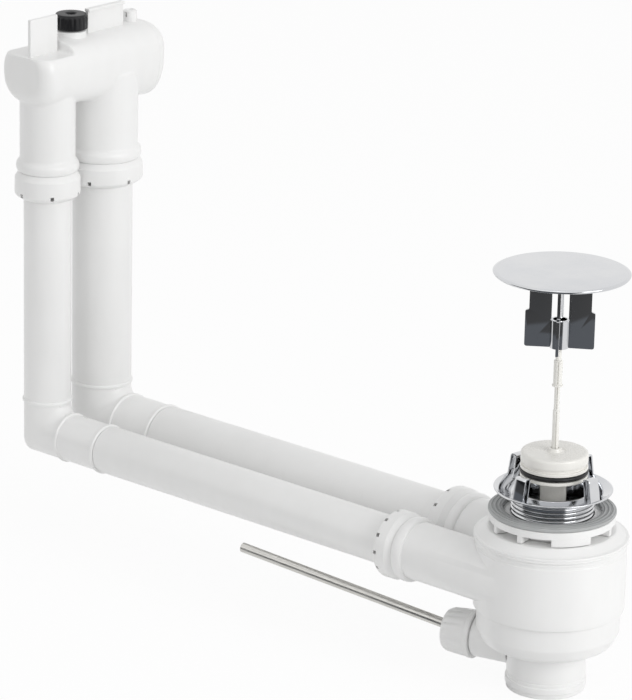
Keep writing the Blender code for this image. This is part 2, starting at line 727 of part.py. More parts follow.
def make_plunger(finishes):
    """Make the plunger: rod, column sleeve, piston with O-ring, and the pin that lifts the cover."""
    plunger = pivot("plunger")
    piston_r = PISTON_OD / 2
    disc_bottom = PISTON_TOP - PISTON_DISC
    groove_bottom = disc_bottom - PISTON_GROOVE
    bottom = PISTON_FOOT_BOTTOM
    ring_groove_r = O_RING_OD / 2 - O_RING_SECTION - GAP
    pin_hole_r = PIN_OD / 2 + GAP
    rod_hole_r = PLUNGER_ROD_R + GAP
    rod_hole_top = bottom + PLUNGER_SPIGOT + GAP
    make_object("piston", turned(
        [
            (rod_hole_r, bottom),
            (piston_r, bottom),
            (piston_r, O_RING_BOTTOM),
            (ring_groove_r, O_RING_BOTTOM),
            (ring_groove_r, O_RING_TOP),
            (piston_r, O_RING_TOP),
            (piston_r, groove_bottom),
            (piston_r - PISTON_GROOVE_DEPTH, groove_bottom),
            (piston_r - PISTON_GROOVE_DEPTH, disc_bottom),
            (piston_r, disc_bottom),
        ]
        + arc((piston_r - PISTON_ROUND, PISTON_TOP - PISTON_ROUND), PISTON_ROUND, 0, 90, 2)
        + [
            (PISTON_BOSS_OD / 2 + PISTON_BOSS_HEIGHT / 2, PISTON_TOP),
            (PISTON_BOSS_OD / 2, PISTON_TOP + PISTON_BOSS_HEIGHT),
            (pin_hole_r, PISTON_TOP + PISTON_BOSS_HEIGHT),
            (pin_hole_r, rod_hole_top),
            (rod_hole_r, rod_hole_top),
        ],
        FINE,
    ), finishes["cream"], plunger)
    section = O_RING_SECTION / 2
    middle = (O_RING_OD / 2 - section, (O_RING_TOP + O_RING_BOTTOM) / 2)
    make_object("piston_o_ring", turned(ring_section(middle, section), FINE), finishes["black"], plunger)
    column_top = bottom - GAP
    column_bottom = column_top - COLUMN_LENGTH
    make_object("column_sleeve", turned([
        (rod_hole_r, column_bottom),
        (COLUMN_OD / 2 - GAP, column_bottom),
        (COLUMN_OD / 2, column_bottom + GAP),
        (COLUMN_OD / 2, column_top),
        (rod_hole_r, column_top),
    ], MEDIUM), finishes["cream"], plunger)
    make_object("plunger_rod", turned([
        (0.0, PLUNGER_FOOT),
        (PLUNGER_ROD_R * 0.6, PLUNGER_FOOT),
        (PLUNGER_ROD_R, PLUNGER_FOOT + PLUNGER_ROD_R * 0.4),
        (PLUNGER_ROD_R, rod_hole_top - GAP),
        (0.0, rod_hole_top - GAP),
    ], SMALL), finishes["cream"], plunger)
    collar_top = PIN_COLLAR + PIN_COLLAR_HEIGHT
    make_object("cover_pin", turned([
        (0.0, rod_hole_top),
        (PIN_OD / 2, rod_hole_top),
        (PIN_OD / 2, PIN_STEP),
        (PIN_NECK_OD / 2, PIN_STEP),
        (PIN_NECK_OD / 2, PIN_COLLAR),
        (PIN_COLLAR_OD / 2, PIN_COLLAR),
        (PIN_COLLAR_OD / 2, collar_top),
        (PIN_HEAD_OD / 2, collar_top),
        (PIN_HEAD_OD / 2, PIN_SHOULDER - GAP),
        (PIN_HEAD_OD / 2 - GAP, PIN_SHOULDER),
        (PIN_SPIGOT_OD / 2, PIN_SHOULDER),
        (PIN_SPIGOT_OD / 2, PIN_TOP),
        (0.0, PIN_TOP),
    ], TINY), finishes["cream"], plunger)
    return plunger


def make_cover(finish, plunger):
    """Make the cover: its disc, the bladed cage that guides it and the stem that rests on the pin."""
    cover = pivot("cover", (0.0, 0.0, COVER_TOP), plunger)
    disc_r = COVER_OD / 2
    make_object("cover_disc", turned([
        (0.0, COVER_UNDER),
        (disc_r - COVER_EDGE, COVER_UNDER),
        (disc_r, COVER_UNDER + COVER_EDGE),
        (disc_r, COVER_TOP - COVER_EDGE),
        (disc_r - COVER_EDGE, COVER_TOP),
        (0.0, COVER_TOP),
    ], FINE), finish, cover)
    cage = make_object("cover_cage", turned([
        (HUB_OD / 2 - HUB_WALL, BLADE_BOTTOM),
        (HUB_OD / 2, BLADE_BOTTOM),
        (HUB_OD / 2, HUB_TOP),
        (HUB_OD / 2 - HUB_WALL, HUB_TOP),
    ], SMALL), finish, cover, turn=Matrix.Rotation(BLADE_TURN, 3, "Z"))
    top = COVER_UNDER - GAP
    overlap = HUB_OD / 2 - HUB_WALL / 2
    outline = [
        (overlap, BLADE_BOTTOM),
        (BLADE_LOWER_RADIUS - COVER_EDGE, BLADE_BOTTOM),
        (BLADE_LOWER_RADIUS, BLADE_BOTTOM + COVER_EDGE),
        (BLADE_LOWER_RADIUS, BLADE_STEP),
        (BLADE_UPPER_RADIUS, BLADE_STEP + COVER_EDGE),
        (BLADE_UPPER_RADIUS, top),
        (BLADE_INNER_RADIUS, top),
        (BLADE_INNER_RADIUS, HUB_TOP - COVER_EDGE),
        (overlap, HUB_TOP - COVER_EDGE),
    ]
    for blade in range(BLADE_COUNT):
        turn = Matrix.Rotation(BLADE_TURN + math.tau * blade / BLADE_COUNT, 3, "Z")
        combine(cage, tool(f"blade_{blade}", prism(outline, BLADE_SHEET), turn=turn), "UNION")
    make_object("cover_stem", turned([
        (0.0, PIN_TOP + GAP),
        (STEM_OD / 2, PIN_TOP + GAP),
        (STEM_OD / 2, COVER_UNDER - GAP),
        (0.0, COVER_UNDER - GAP),
    ], TINY), finish, cover)


def make_lever(finishes):
    """Make the lever on its ball, with the seat, the gland and the nut that hold the ball."""
    place = LEVER_DIRECTION * BALL_DISTANCE + Vector((0.0, 0.0, LEVER_HEIGHT))
    lever = pivot("lever", place)
    tilted = LEVER_DIRECTION * math.cos(LEVER_TILT) + Vector((0.0, 0.0, math.sin(LEVER_TILT)))
    turn = along(tilted)
    rod_r = LEVER_OD / 2
    chamfer = LEVER_OD / 8
    make_object("lever_rod", turned([
        (0.0, -LEVER_INNER),
        (rod_r - chamfer, -LEVER_INNER),
        (rod_r, -LEVER_INNER + chamfer),
        (rod_r, LEVER_OUTER - chamfer),
        (rod_r - chamfer, LEVER_OUTER),
        (0.0, LEVER_OUTER),
    ], TINY), finishes["steel"], lever, place, turn)
    ball_r = BALL_OD / 2
    hole = math.degrees(math.acos((rod_r + GAP) / ball_r))
    make_object("lever_ball", turned(arc((0.0, 0.0), ball_r, -hole, hole, 8), SMALL),
                finishes["white"], lever, place, turn)
    level = along(LEVER_DIRECTION)
    cup_r = BOSS_CUP / 2 - GAP

    def ball_wall(offset):
        """Return the radius just outside the ball at a distance from its centre."""
        return math.sqrt(ball_r ** 2 - offset ** 2) + GAP

    seat_back = BOSS_END - BOSS_CUP_DEPTH + GAP - BALL_DISTANCE
    seat_front = seat_back + BALL_SEAT_LENGTH
    make_object("ball_seat", turned([
        (ball_wall(seat_back), seat_back),
        (cup_r, seat_back),
        (cup_r, seat_front),
        (ball_wall(seat_front), seat_front),
    ], SMALL), finishes["black"], None, place, level)
    gland_end = BOSS_END + GAP - BALL_DISTANCE
    mouth = ball_wall((GLAND_START + ball_r) / 2)
    make_object("ball_gland", turned([
        (ball_wall(GLAND_START), GLAND_START),
        (cup_r, GLAND_START),
        (cup_r, gland_end),
        (mouth, gland_end),
        (mouth, (GLAND_START + ball_r) / 2),
    ], SMALL), finishes["white"], None, place, level)
    start = LEVER_NUT_START + GAP - BALL_DISTANCE
    end = LEVER_NUT_START + LEVER_NUT_LENGTH - BALL_DISTANCE
    inner = BOSS_THREAD_OD / 2 + GAP
    floor = gland_end + GAP
    recess = (floor + end) / 2
    nut = turned([
        (inner, start),
        (LEVER_NUT_OD / 2, start),
        (LEVER_NUT_OD / 2, start + LEVER_NUT_LENGTH / 6),
        (LEVER_NUT_END_OD / 2, end - LEVER_NUT_LENGTH / 12),
        (LEVER_NUT_END_OD / 2 - GAP, end),
        (LEVER_NUT_MOUTH / 2, end),
        (LEVER_NUT_MOUTH / 2, recess),
        (mouth, recess),
        (mouth, floor),
        (inner, floor),
    ], 2 * LEVER_NUT_FLUTES)
    ridged(nut, inner + LEVER_NUT_FLUTE_DEPTH, LEVER_NUT_FLUTES, LEVER_NUT_FLUTE_DEPTH)
    make_object("lever_nut", nut, finishes["white"], None, place, level)


def elbow_shape():
    """Return a hollow elbow with ribs, from the riser's end round to the level pipe's end.

    It lies in the XZ plane with the two pipe axes crossing at the origin.
    """
    spigot_r = PIPE_BORE_R - GAP
    rib_r = PIPE_R + RIB_HEIGHT
    rib = RIB_WIDTH / 2
    sleeve_end = BEND_RADIUS + SLEEVE_LENGTH
    rings = [
        (PIPE_R, Vector((0, 0, BEND_RADIUS)), 0.0),
    ]
    steps = 5
    for step in range(1, steps):
        angle = math.pi / 2 * step / steps
        middle = Vector((BEND_RADIUS * (1 - math.cos(angle)), 0, BEND_RADIUS * (1 - math.sin(angle))))
        rings.append((PIPE_R, middle, angle))
    before = [
        (spigot_r, BEND_RADIUS + SPIGOT_LENGTH),
        (spigot_r, BEND_RADIUS + rib + GAP),
        (rib_r - rib / 2, BEND_RADIUS + rib),
        (rib_r, BEND_RADIUS),
        (PIPE_R, BEND_RADIUS - rib),
    ]
    after = [
        (PIPE_R, BEND_RADIUS),
        (rib_r, BEND_RADIUS + rib),
        (rib_r, BEND_RADIUS + 2 * rib),
        (PIPE_R, BEND_RADIUS + 3 * rib),
        (PIPE_R, sleeve_end - 2 * rib),
        (rib_r, sleeve_end - rib),
        (rib_r, sleeve_end),
        (spigot_r, sleeve_end),
        (spigot_r, sleeve_end + SPIGOT_LENGTH),
    ]
    outer = [(radius, Vector((0, 0, height)), 0.0) for radius, height in before] + rings[1:]
    outer += [(radius, Vector((length, 0, 0)), math.pi / 2) for radius, length in after]
    bore = spigot_r - SPIGOT_WALL
    inner = [(bore, outer[0][1], 0.0), (bore, Vector((0, 0, BEND_RADIUS)), 0.0)]
    inner += [(bore, middle, angle) for _, middle, angle in rings[1:]]
    inner += [(bore, Vector((BEND_RADIUS, 0, 0)), math.pi / 2), (bore, outer[-1][1], math.pi / 2)]
    shape = bmesh.new()
    loops = []
    for radius, middle, angle in outer + inner[::-1]:
        loop = []
        for side in range(PIPE_SIDES):
            turn = math.tau * side / PIPE_SIDES
            across = Vector((math.cos(turn) * radius, math.sin(turn) * radius, 0.0))
            across.rotate(Matrix.Rotation(-angle, 3, "Y"))
            loop.append(shape.verts.new(middle + across))
        loops.append(loop)
    for loop, following in zip(loops, loops[1:] + loops[:1]):
        for side in range(PIPE_SIDES):
            after_side = (side + 1) % PIPE_SIDES
            shape.faces.new((loop[side], loop[after_side], following[after_side], following[side]))
    bmesh.ops.recalc_face_normals(shape, faces=shape.faces)
    return shape


def tube(length, start):
    """Return a straight pipe's outline between two heights."""
    return [
        (PIPE_BORE_R, start),
        (PIPE_R - GAP, start),
        (PIPE_R, start + GAP),
        (PIPE_R, start + length - GAP),
        (PIPE_R - GAP, start + length),
        (PIPE_BORE_R, start + length),
    ]


def make_pipes(finishes):
    """Make both L-shaped pipe runs, and the couplings on the body's stubs."""
    risers = pivot("risers", (-RISER_DISTANCE, 0.0, -PIPE_DEPTH))
    rib = RIB_WIDTH / 2
    level_end = RISER_DISTANCE - BEND_RADIUS - SLEEVE_LENGTH - GAP
    riser_start = BEND_RADIUS + rib + GAP
    for name, y in sides_y():
        corner = (-RISER_DISTANCE, y, -PIPE_DEPTH)
        level = turned(tube(level_end - LEVEL_PIPE_START, LEVEL_PIPE_START), PIPE_SIDES)
        axis = (0.0, y, -PIPE_DEPTH)
        make_object(f"level_pipe_{name}", level, finishes["white"], risers, axis, along((-1, 0, 0)))
        make_object(f"elbow_{name}", elbow_shape(), finishes["white"], risers, corner)
        riser = turned(tube(RISER_TOP + PIPE_DEPTH - riser_start - GAP, riser_start + GAP), PIPE_SIDES)
        make_object(f"riser_pipe_{name}", riser, finishes["white"], risers, corner)
        place = (-BODY_SHOULDER, y, -PIPE_DEPTH)
        coupling_nut(f"body_nut_{name}", place, (-1, 0, 0), finishes["white"])
        pipe_seal(f"body_pipe_seal_{name}", place, (-1, 0, 0), finishes["black"])
    return risers


def capsule(radius, near, far, rounding, steps):
    """Return a capsule's outline along an axis, with rounded ends."""
    return (
        [(0.0, near)]
        + arc((radius - rounding, near + rounding), rounding, -90, 0, steps)
        + arc((radius - rounding, far - rounding), rounding, 0, 90, steps)
        + [(0.0, far)]
    )


def make_head(finishes, risers):
    """Make the overflow head with its end cap, weir, plates, bush and stud, and its couplings."""
    head = pivot("head", (-RISER_DISTANCE, 0.0, HEAD_SHOULDER), risers)
    white = finishes["white"]
    centre = (-RISER_DISTANCE, 0.0, HEAD_AXIS)
    sideways = along((0, 1, 0))
    casing = make_object("head_casing", turned(
        capsule(HEAD_R, HEAD_NEAR_END, HEAD_FAR_END, HEAD_ROUND, 4), FINE
    ), white, head, centre, sideways)
    across = HEAD_R + REACH
    far_cut = box(
        (-RISER_DISTANCE - across, HEAD_SEAM, HEAD_AXIS - across),
        (-RISER_DISTANCE + across, HEAD_FAR_END + REACH, HEAD_AXIS + across),
    )
    combine(casing, tool("far_end_cut", far_cut), "DIFFERENCE")
    ledge_cut = box(
        (-RISER_DISTANCE - across, HEAD_NEAR_END - REACH, LEDGE_TOP),
        (-RISER_DISTANCE + across, LEDGE_END, HEAD_AXIS + across),
    )
    combine(casing, tool("ledge_cut", ledge_cut), "DIFFERENCE")
    plate_x = -RISER_DISTANCE + PLATE_OFFSET
    near_plate = box(
        (plate_x - PLATE_THICKNESS / 2, NEAR_PLATE_START, LEDGE_TOP - REACH),
        (plate_x + PLATE_THICKNESS / 2, NEAR_PLATE_START + NEAR_PLATE_WIDTH, NEAR_PLATE_TOP),
    )
    combine(casing, tool("near_plate", near_plate), "UNION")
    far_plate = box(
        (plate_x - PLATE_THICKNESS / 2, FAR_PLATE_START, HEAD_AXIS + HEAD_R - HEAD_WALL),
        (plate_x + PLATE_THICKNESS / 2, FAR_PLATE_START + FAR_PLATE_WIDTH, FAR_PLATE_TOP),
    )
    combine(casing, tool("far_plate", far_plate), "UNION")
    lip = box(
        (plate_x - PLATE_THICKNESS / 2, FAR_PLATE_START - FAR_PLATE_LIP, FAR_PLATE_TOP - FAR_PLATE_LIP),
        (plate_x + PLATE_THICKNESS / 2 + FAR_PLATE_LIP, FAR_PLATE_START + FAR_PLATE_WIDTH, FAR_PLATE_TOP + GAP),
    )
    combine(casing, tool("far_plate_lip", lip), "UNION")
    down = along((0, 0, -1))
    for name, y in sides_y():
        place = (-RISER_DISTANCE, y, HEAD_SHOULDER)
        outline = socket_outline(HEAD_AXIS - HEAD_SHOULDER)
        combine(casing, tool(f"head_socket_{name}", turned(outline, PIPE_SIDES), place, down), "UNION")
    cavity_end = HEAD_SEAM - 3 * HEAD_WALL
    cavity = tool("head_cavity", turned(
        capsule(HEAD_R - HEAD_WALL, HEAD_NEAR_END + HEAD_WALL, cavity_end, HEAD_ROUND - HEAD_WALL, 2), MEDIUM
    ), centre, sideways)
    keep = box(
        (-RISER_DISTANCE - across, HEAD_NEAR_END - REACH, LEDGE_TOP - HEAD_WALL),
        (-RISER_DISTANCE + across, LEDGE_END + HEAD_WALL, HEAD_AXIS + across),
    )
    combine(cavity, tool("ledge_keep", keep), "DIFFERENCE")
    combine(casing, cavity, "DIFFERENCE")
    cap_hole_r = HEAD_R - HEAD_ROUND + HEAD_ROUND / 2
    combine(casing, tool("cap_hole", turned([
        (0.0, HEAD_SEAM - 4 * HEAD_WALL),
        (cap_hole_r, HEAD_SEAM - 4 * HEAD_WALL),
        (cap_hole_r, HEAD_SEAM + REACH),
        (0.0, HEAD_SEAM + REACH),
    ], MEDIUM), centre, sideways), "DIFFERENCE")
    for name, y in sides_y():
        bore = turned([
            (0.0, HEAD_SHOULDER - THREAD_LENGTH - REACH),
            (SOCKET_BORE_R, HEAD_SHOULDER - THREAD_LENGTH - REACH),
            (SOCKET_BORE_R, HEAD_AXIS - HEAD_WALL),
            (0.0, HEAD_AXIS - HEAD_WALL),
        ], PIPE_SIDES)
        combine(casing, tool(f"head_bore_{name}", bore, (-RISER_DISTANCE, y, 0.0)), "DIFFERENCE")
        place = (-RISER_DISTANCE, y, HEAD_SHOULDER)
        coupling_nut(f"head_nut_{name}", place, (0, 0, -1), white, head)
        pipe_seal(f"head_pipe_seal_{name}", place, (0, 0, -1), finishes["black"], head)
    holes = (("bush_hole", KNOB_PLACE, BUSH_OD / 2 + GAP), ("stud_hole", STUD_PLACE, STUD_SHANK_OD / 2 + GAP))
    for name, y, radius in holes:
        hole = turned([(0.0, HEAD_AXIS), (radius, HEAD_AXIS), (radius, FAR_PLATE_TOP), (0.0, FAR_PLATE_TOP)], SMALL)
        combine(casing, tool(name, hole, (-RISER_DISTANCE, y, 0.0)), "DIFFERENCE")
    make_head_fittings(finishes, head, centre, sideways, cap_hole_r)
    return head


def make_head_fittings(finishes, head, centre, sideways, cap_hole_r):
    """Make the pieces that sit in the overflow head."""
    white = finishes["white"]
    seam = HEAD_SEAM + GAP
    start = math.degrees(math.asin((seam - HEAD_FAR_END + HEAD_ROUND) / HEAD_ROUND))
    plug_r = cap_hole_r - GAP
    plug_end = HEAD_SEAM - 2 * HEAD_WALL
    dome = arc((HEAD_R - HEAD_ROUND, HEAD_FAR_END - HEAD_ROUND), HEAD_ROUND, start, 90, 3)
    make_object("head_end_cap", turned(
        [(0.0, plug_end), (plug_r, plug_end), (plug_r, seam)] + dome + [(0.0, HEAD_FAR_END)], MEDIUM
    ), white, head, centre, sideways)
    weir_r = HEAD_R - HEAD_WALL - GAP
    weir = make_object("weir_plate", turned([
        (0.0, -WEIR_THICKNESS / 2),
        (weir_r, -WEIR_THICKNESS / 2),
        (weir_r, WEIR_THICKNESS / 2),
        (0.0, WEIR_THICKNESS / 2),
    ], MEDIUM), white, head, centre, sideways)
    across = HEAD_R + REACH
    weir_cut = box(
        (-RISER_DISTANCE - across, -REACH, WEIR_TOP), (-RISER_DISTANCE + across, REACH, HEAD_AXIS + across)
    )
    combine(weir, tool("weir_cut", weir_cut), "DIFFERENCE")
    bush_r = BUSH_OD / 2
    bush_bore = bush_r - BUSH_WALL
    crown_height = HEAD_AXIS + HEAD_R
    flange_bottom = crown_height + GAP
    make_object("knob_bush", turned([
        (bush_bore, BUSH_BOTTOM),
        (bush_r, BUSH_BOTTOM),
        (bush_r, flange_bottom),
        (bush_r + BUSH_WALL, flange_bottom),
        (bush_r + BUSH_WALL, KNOB_BOTTOM - GAP),
        (bush_bore, KNOB_BOTTOM - GAP),
    ], SMALL), white, head, (-RISER_DISTANCE, KNOB_PLACE, 0.0))
    make_object("vent_stud", turned([
        (0.0, crown_height - STUD_SHANK_LENGTH),
        (STUD_SHANK_OD / 2, crown_height - STUD_SHANK_LENGTH),
        (STUD_SHANK_OD / 2, crown_height + GAP),
        (STUD_OD / 2, crown_height + GAP),
        (STUD_OD / 2, crown_height + STUD_HEIGHT - GAP),
        (STUD_OD / 2 - GAP, crown_height + STUD_HEIGHT),
        (0.0, crown_height + STUD_HEIGHT),
    ], SMALL), white, head, (-RISER_DISTANCE, STUD_PLACE, 0.0))
    place = (-RISER_DISTANCE, KNOB_PLACE, KNOB_BOTTOM)
    knob = pivot("knob_axis", place, head)
    knob_r = KNOB_OD / 2
    edge = KNOB_HEIGHT / 12
    shape = turned([
        (0.0, BUSH_BOTTOM - KNOB_BOTTOM),
        (KNOB_SCREW_OD / 2, BUSH_BOTTOM - KNOB_BOTTOM),
        (KNOB_SCREW_OD / 2, 0.0),
        (knob_r - edge, 0.0),
        (knob_r, edge),
        (knob_r, KNOB_HEIGHT - edge),
        (knob_r - edge, KNOB_HEIGHT),
        (KNOB_SOCKET_OD / 2, KNOB_HEIGHT),
        (KNOB_SOCKET_OD / 2, KNOB_HEIGHT - KNOB_SOCKET_DEPTH),
        (0.0, KNOB_HEIGHT - KNOB_SOCKET_DEPTH),
    ], 2 * KNOB_RIDGES)
    ridged(shape, knob_r - edge / 2, KNOB_RIDGES, KNOB_RIDGE_DEPTH)
    make_object("knob", shape, finishes["knob"], knob, place)


def main():
    """Build the whole waste."""
    clear_scene()
    finishes = make_finishes()
    make_casing(finishes["white"])
    make_lid(finishes["white"], finishes["black"])
    make_bowl(finishes["white"], finishes["black"])
    make_inserts(finishes["white"])
    make_clamping(finishes)
    make_clips(finishes["chrome"])
    plunger = make_plunger(finishes)
    make_cover(finishes["chrome"], plunger)
    make_lever(finishes)
    risers = make_pipes(finishes)
    make_head(finishes, risers)


main()
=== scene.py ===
"""Looks of a basin waste with overflow: a pop-up drain, its pipes and the overflow head above them.

Every sub-assembly is a class. Its sizes are fields in millimetres, and its methods model the pieces by
operators and dress them. The drain's axis is +Z through the origin, which lies on top of the gasket.
"""

import json
import logging
import math
from collections.abc import Callable, Iterable, Mapping, Sequence
from dataclasses import dataclass, field
from enum import Enum
from typing import Any

import bmesh
import bpy
from mathutils import Matrix, Vector

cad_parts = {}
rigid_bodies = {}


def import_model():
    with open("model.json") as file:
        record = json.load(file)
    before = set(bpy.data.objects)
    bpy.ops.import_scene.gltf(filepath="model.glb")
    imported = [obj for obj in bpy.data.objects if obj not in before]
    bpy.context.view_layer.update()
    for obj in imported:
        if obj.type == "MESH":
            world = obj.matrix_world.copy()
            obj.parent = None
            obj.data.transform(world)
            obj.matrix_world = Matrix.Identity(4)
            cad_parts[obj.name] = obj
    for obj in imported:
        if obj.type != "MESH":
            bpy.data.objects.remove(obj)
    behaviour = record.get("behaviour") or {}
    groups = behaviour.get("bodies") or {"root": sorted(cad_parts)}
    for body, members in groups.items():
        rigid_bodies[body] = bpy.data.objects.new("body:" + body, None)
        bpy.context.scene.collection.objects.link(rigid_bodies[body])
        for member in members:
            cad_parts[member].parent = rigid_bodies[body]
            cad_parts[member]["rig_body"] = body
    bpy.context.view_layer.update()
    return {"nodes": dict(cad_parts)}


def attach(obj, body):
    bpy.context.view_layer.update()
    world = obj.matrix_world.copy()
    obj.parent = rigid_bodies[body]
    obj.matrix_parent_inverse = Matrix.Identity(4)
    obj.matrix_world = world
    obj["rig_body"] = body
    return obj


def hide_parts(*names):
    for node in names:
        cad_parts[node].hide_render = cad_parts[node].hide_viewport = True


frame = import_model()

LOG = logging.getLogger("basin_waste")
MM = 0.001
ROUND = 96
NEAR_ZERO = 0.001

Piece = bpy.types.Object
Point = tuple[float, ...]
Colour = tuple[float, float, float]
PURE_WHITE = (1.0, 1.0, 1.0)


class Finish(Enum):
    """The finishes of the waste, each by the name of its slot in the record."""

    WHITE = "white_plastic"
    CREAM = "cream_plastic"
    CHROME = "chrome"
    STEEL = "steel"
    GREY_RUBBER = "grey_rubber"
    BLACK_RUBBER = "black_rubber"
    BLACK_PLASTIC = "black_plastic"


@dataclass(frozen=True)
class Run:
    """One of the two pipe runs. Its couplings take their sizes from its pipe."""

    name: str
    y: float
    radius: float
    depth: float
    bend: float
    nut_length: float
    shoulder: float
    level_turn: float
    upright_turn: float


RUNS = (
    Run("front", -24.0, 13.0, 35.0, 17.3, 15.0, 72.0, 0.0, 37.0),
    Run("back", 18.7, 16.6, 36.9, 20.3, 14.0, 70.0, 18.0, 65.0),
)


class Signal:
    """A value in a shader that takes part in Python arithmetic."""

    def __init__(self, graph: "Graph", socket: bpy.types.NodeSocket) -> None:
        """Wrap a node's output socket."""
        self.graph = graph
        self.socket = socket

    def _math(self, operation: str, first: Any, second: Any = 0.0) -> "Signal":
        """Add a Math node of two values."""
        return self.graph.add("Math", {"operation": operation}, {0: first, 1: second})

    def __add__(self, other: Any) -> "Signal":
        """Add another value."""
        return self._math("ADD", self, other)

    def __radd__(self, other: Any) -> "Signal":
        """Add to another value."""
        return self._math("ADD", other, self)

    def __sub__(self, other: Any) -> "Signal":
        """Take another value away."""
        return self._math("SUBTRACT", self, other)

    def __rsub__(self, other: Any) -> "Signal":
        """Take from another value."""
        return self._math("SUBTRACT", other, self)

    def __mul__(self, other: Any) -> "Signal":
        """Multiply by another value."""
        return self._math("MULTIPLY", self, other)

    def __pow__(self, other: Any) -> "Signal":
        """Raise to a power."""
        return self._math("POWER", self, other)

    def sine(self) -> "Signal":
        """Return the sine."""
        return self._math("SINE", self)

    def between(self, low: float, high: float) -> "Signal":
        """Return 0 below low and 1 above high, with a soft step between them."""
        ends = {"Value": self, "From Min": low, "From Max": high}
        return self.graph.add("MapRange", {"interpolation_type": "SMOOTHSTEP"}, ends)


class Graph:
    """A node tree that is written as expressions."""

    def __init__(self, tree: bpy.types.NodeTree) -> None:
        """Start with an empty tree."""
        self.tree = tree
        tree.nodes.clear()

    def add(
        self, kind: str, settings: Mapping[str, Any] | None = None, inputs: Mapping[Any, Any] | None = None,
        output: Any = 0,
    ) -> Signal:
        """Add a node.

        Args:
            kind: The shader node's type, without its first word.
            settings: Its own settings, which are set before its sockets are filled.
            inputs: The values or signals of its sockets, by name or number.
            output: The socket that is returned.

        Returns:
            The chosen output as a signal.
        """
        node = self.tree.nodes.new(f"ShaderNode{kind}")
        for key, value in (settings or {}).items():
            setattr(node, key, value)
        for key, value in (inputs or {}).items():
            self.fill(node.inputs[key], value)
        return Signal(self, node.outputs[output] if len(node.outputs) else node.inputs[0])

    def fill(self, socket: bpy.types.NodeSocket, value: Any) -> None:
        """Link a signal to a socket, or set its value.

        Args:
            socket: The socket to fill.
            value: A signal, a number, a vector or a colour.
        """
        if isinstance(value, Signal):
            self.tree.links.new(value.socket, socket)
        elif socket.type == "RGBA" and len(value) == 3:
            socket.default_value = (*value, 1.0)
        else:
            socket.default_value = value

    def place(self, scale: Point = (1.0, 1.0, 1.0), turn: Point = (0.0, 0.0, 0.0)) -> Signal:
        """Return the place on the object, stretched and turned by radians."""
        spot = self.add("TexCoord", output="Object")
        return self.add("Mapping", None, {"Vector": spot, "Scale": scale, "Rotation": turn})

    def noise(self, spot: Signal, scale: float, detail: float = 2.0, roughness: float = 0.5) -> Signal:
        """Return soft noise between 0 and 1, with its waves per metre and its finer layers."""
        return self.add("TexNoise", None, {"Vector": spot, "Scale": scale, "Detail": detail, "Roughness": roughness})

    def blend(self, share: Signal, low: Any, high: Any) -> Signal:
        """Mix two colours, of which the second shows by the share."""
        return self.add("Mix", {"data_type": "RGBA"}, {0: share, 6: low, 7: high}, 2)

    def bump(self, height: Signal, strength: float, distance: float, below: Signal | None = None) -> Signal:
        """Return a normal that is raised by a height.

        Args:
            height: The height, between 0 and 1.
            strength: How much of it shows.
            distance: What a height of 1 measures, in millimetres.
            below: A normal that this one lies on.

        Returns:
            The normal.
        """
        inputs = {"Height": height, "Strength": strength, "Distance": distance * MM}
        if below:
            inputs["Normal"] = below
        return self.add("Bump", None, inputs)

    def radius(self) -> Signal:
        """Return the distance from the upright axis through the origin, in millimetres."""
        spot = self.add("TexCoord", output="Object")
        across, deep = (self.add("SeparateXYZ", None, {0: spot}, side) * (1 / MM) for side in (0, 1))
        return (across**2.0 + deep**2.0) ** 0.5


@dataclass(frozen=True)
class Coating:
    """What every finish has."""

    title: str
    colour: Colour
    roughness: float

    def build(self) -> bpy.types.Material:
        """Return the material of this finish."""
        made = bpy.data.materials.new(self.title)
        made.use_nodes = True
        graph = Graph(made.node_tree)
        shader = graph.add("BsdfPrincipled").socket.node
        self.dress(graph, shader)
        graph.add("OutputMaterial", None, {"Surface": Signal(graph, shader.outputs[0])})
        made.diffuse_color = (*self.colour, 1.0)
        return made

    def dress(self, graph: Graph, shader: bpy.types.Node) -> None:
        """Fill the shader's sockets."""
        raise NotImplementedError


@dataclass(frozen=True)
class MouldedPlastic(Coating):
    """Injection-moulded plastic with a faint cloudiness and the skin of its mould."""

    cloud: Colour
    sheen_level: float = 0.5
    skin: float = 0.05

    def dress(self, graph: Graph, shader: bpy.types.Node) -> None:
        """Fill the shader's sockets."""
        spot = graph.place()
        clouds = graph.noise(spot, 28.0, 3.0).between(0.3, 0.7)
        flow = graph.noise(graph.place((1.0, 1.0, 0.2)), 160.0, 2.0).between(0.25, 0.75)
        skin = graph.noise(spot, 1500.0, 2.0, 0.6)
        raised = graph.bump(graph.noise(spot, 60.0, 1.0), 0.25, 0.12)
        graph.fill(shader.inputs["Base Color"], graph.blend(clouds * 0.6 + flow * 0.4, self.colour, self.cloud))
        graph.fill(shader.inputs["Roughness"], self.roughness + (skin - 0.5) * 0.10 + (clouds - 0.5) * 0.05)
        shader.inputs["Specular IOR Level"].default_value = self.sheen_level
        graph.fill(shader.inputs["Normal"], graph.bump(skin, self.skin, 0.05, raised))


@dataclass(frozen=True)
class PlatedMetal(Coating):
    """Bright plated metal with the fine rings that turning and polishing leave."""

    smear: Colour
    ring_pitch: float = 0.45

    def dress(self, graph: Graph, shader: bpy.types.Node) -> None:
        """Fill the shader's sockets."""
        spot = graph.place()
        smears = graph.noise(spot, 45.0, 3.0).between(0.35, 0.75)
        wobble = graph.noise(spot, 90.0, 1.0)
        rings = (graph.radius() * (math.tau / self.ring_pitch) + wobble * 3.0).sine() * 0.5 + 0.5
        graph.fill(shader.inputs["Base Color"], graph.blend(smears, self.colour, self.smear))
        graph.fill(shader.inputs["Roughness"], self.roughness + smears * 0.05 + rings * 0.02)
        shader.inputs["Metallic"].default_value = 1.0
        raised = graph.bump(graph.noise(spot, 35.0, 1.0), 0.12, 0.10)
        graph.fill(shader.inputs["Normal"], graph.bump(rings, 0.03, 0.02, raised))


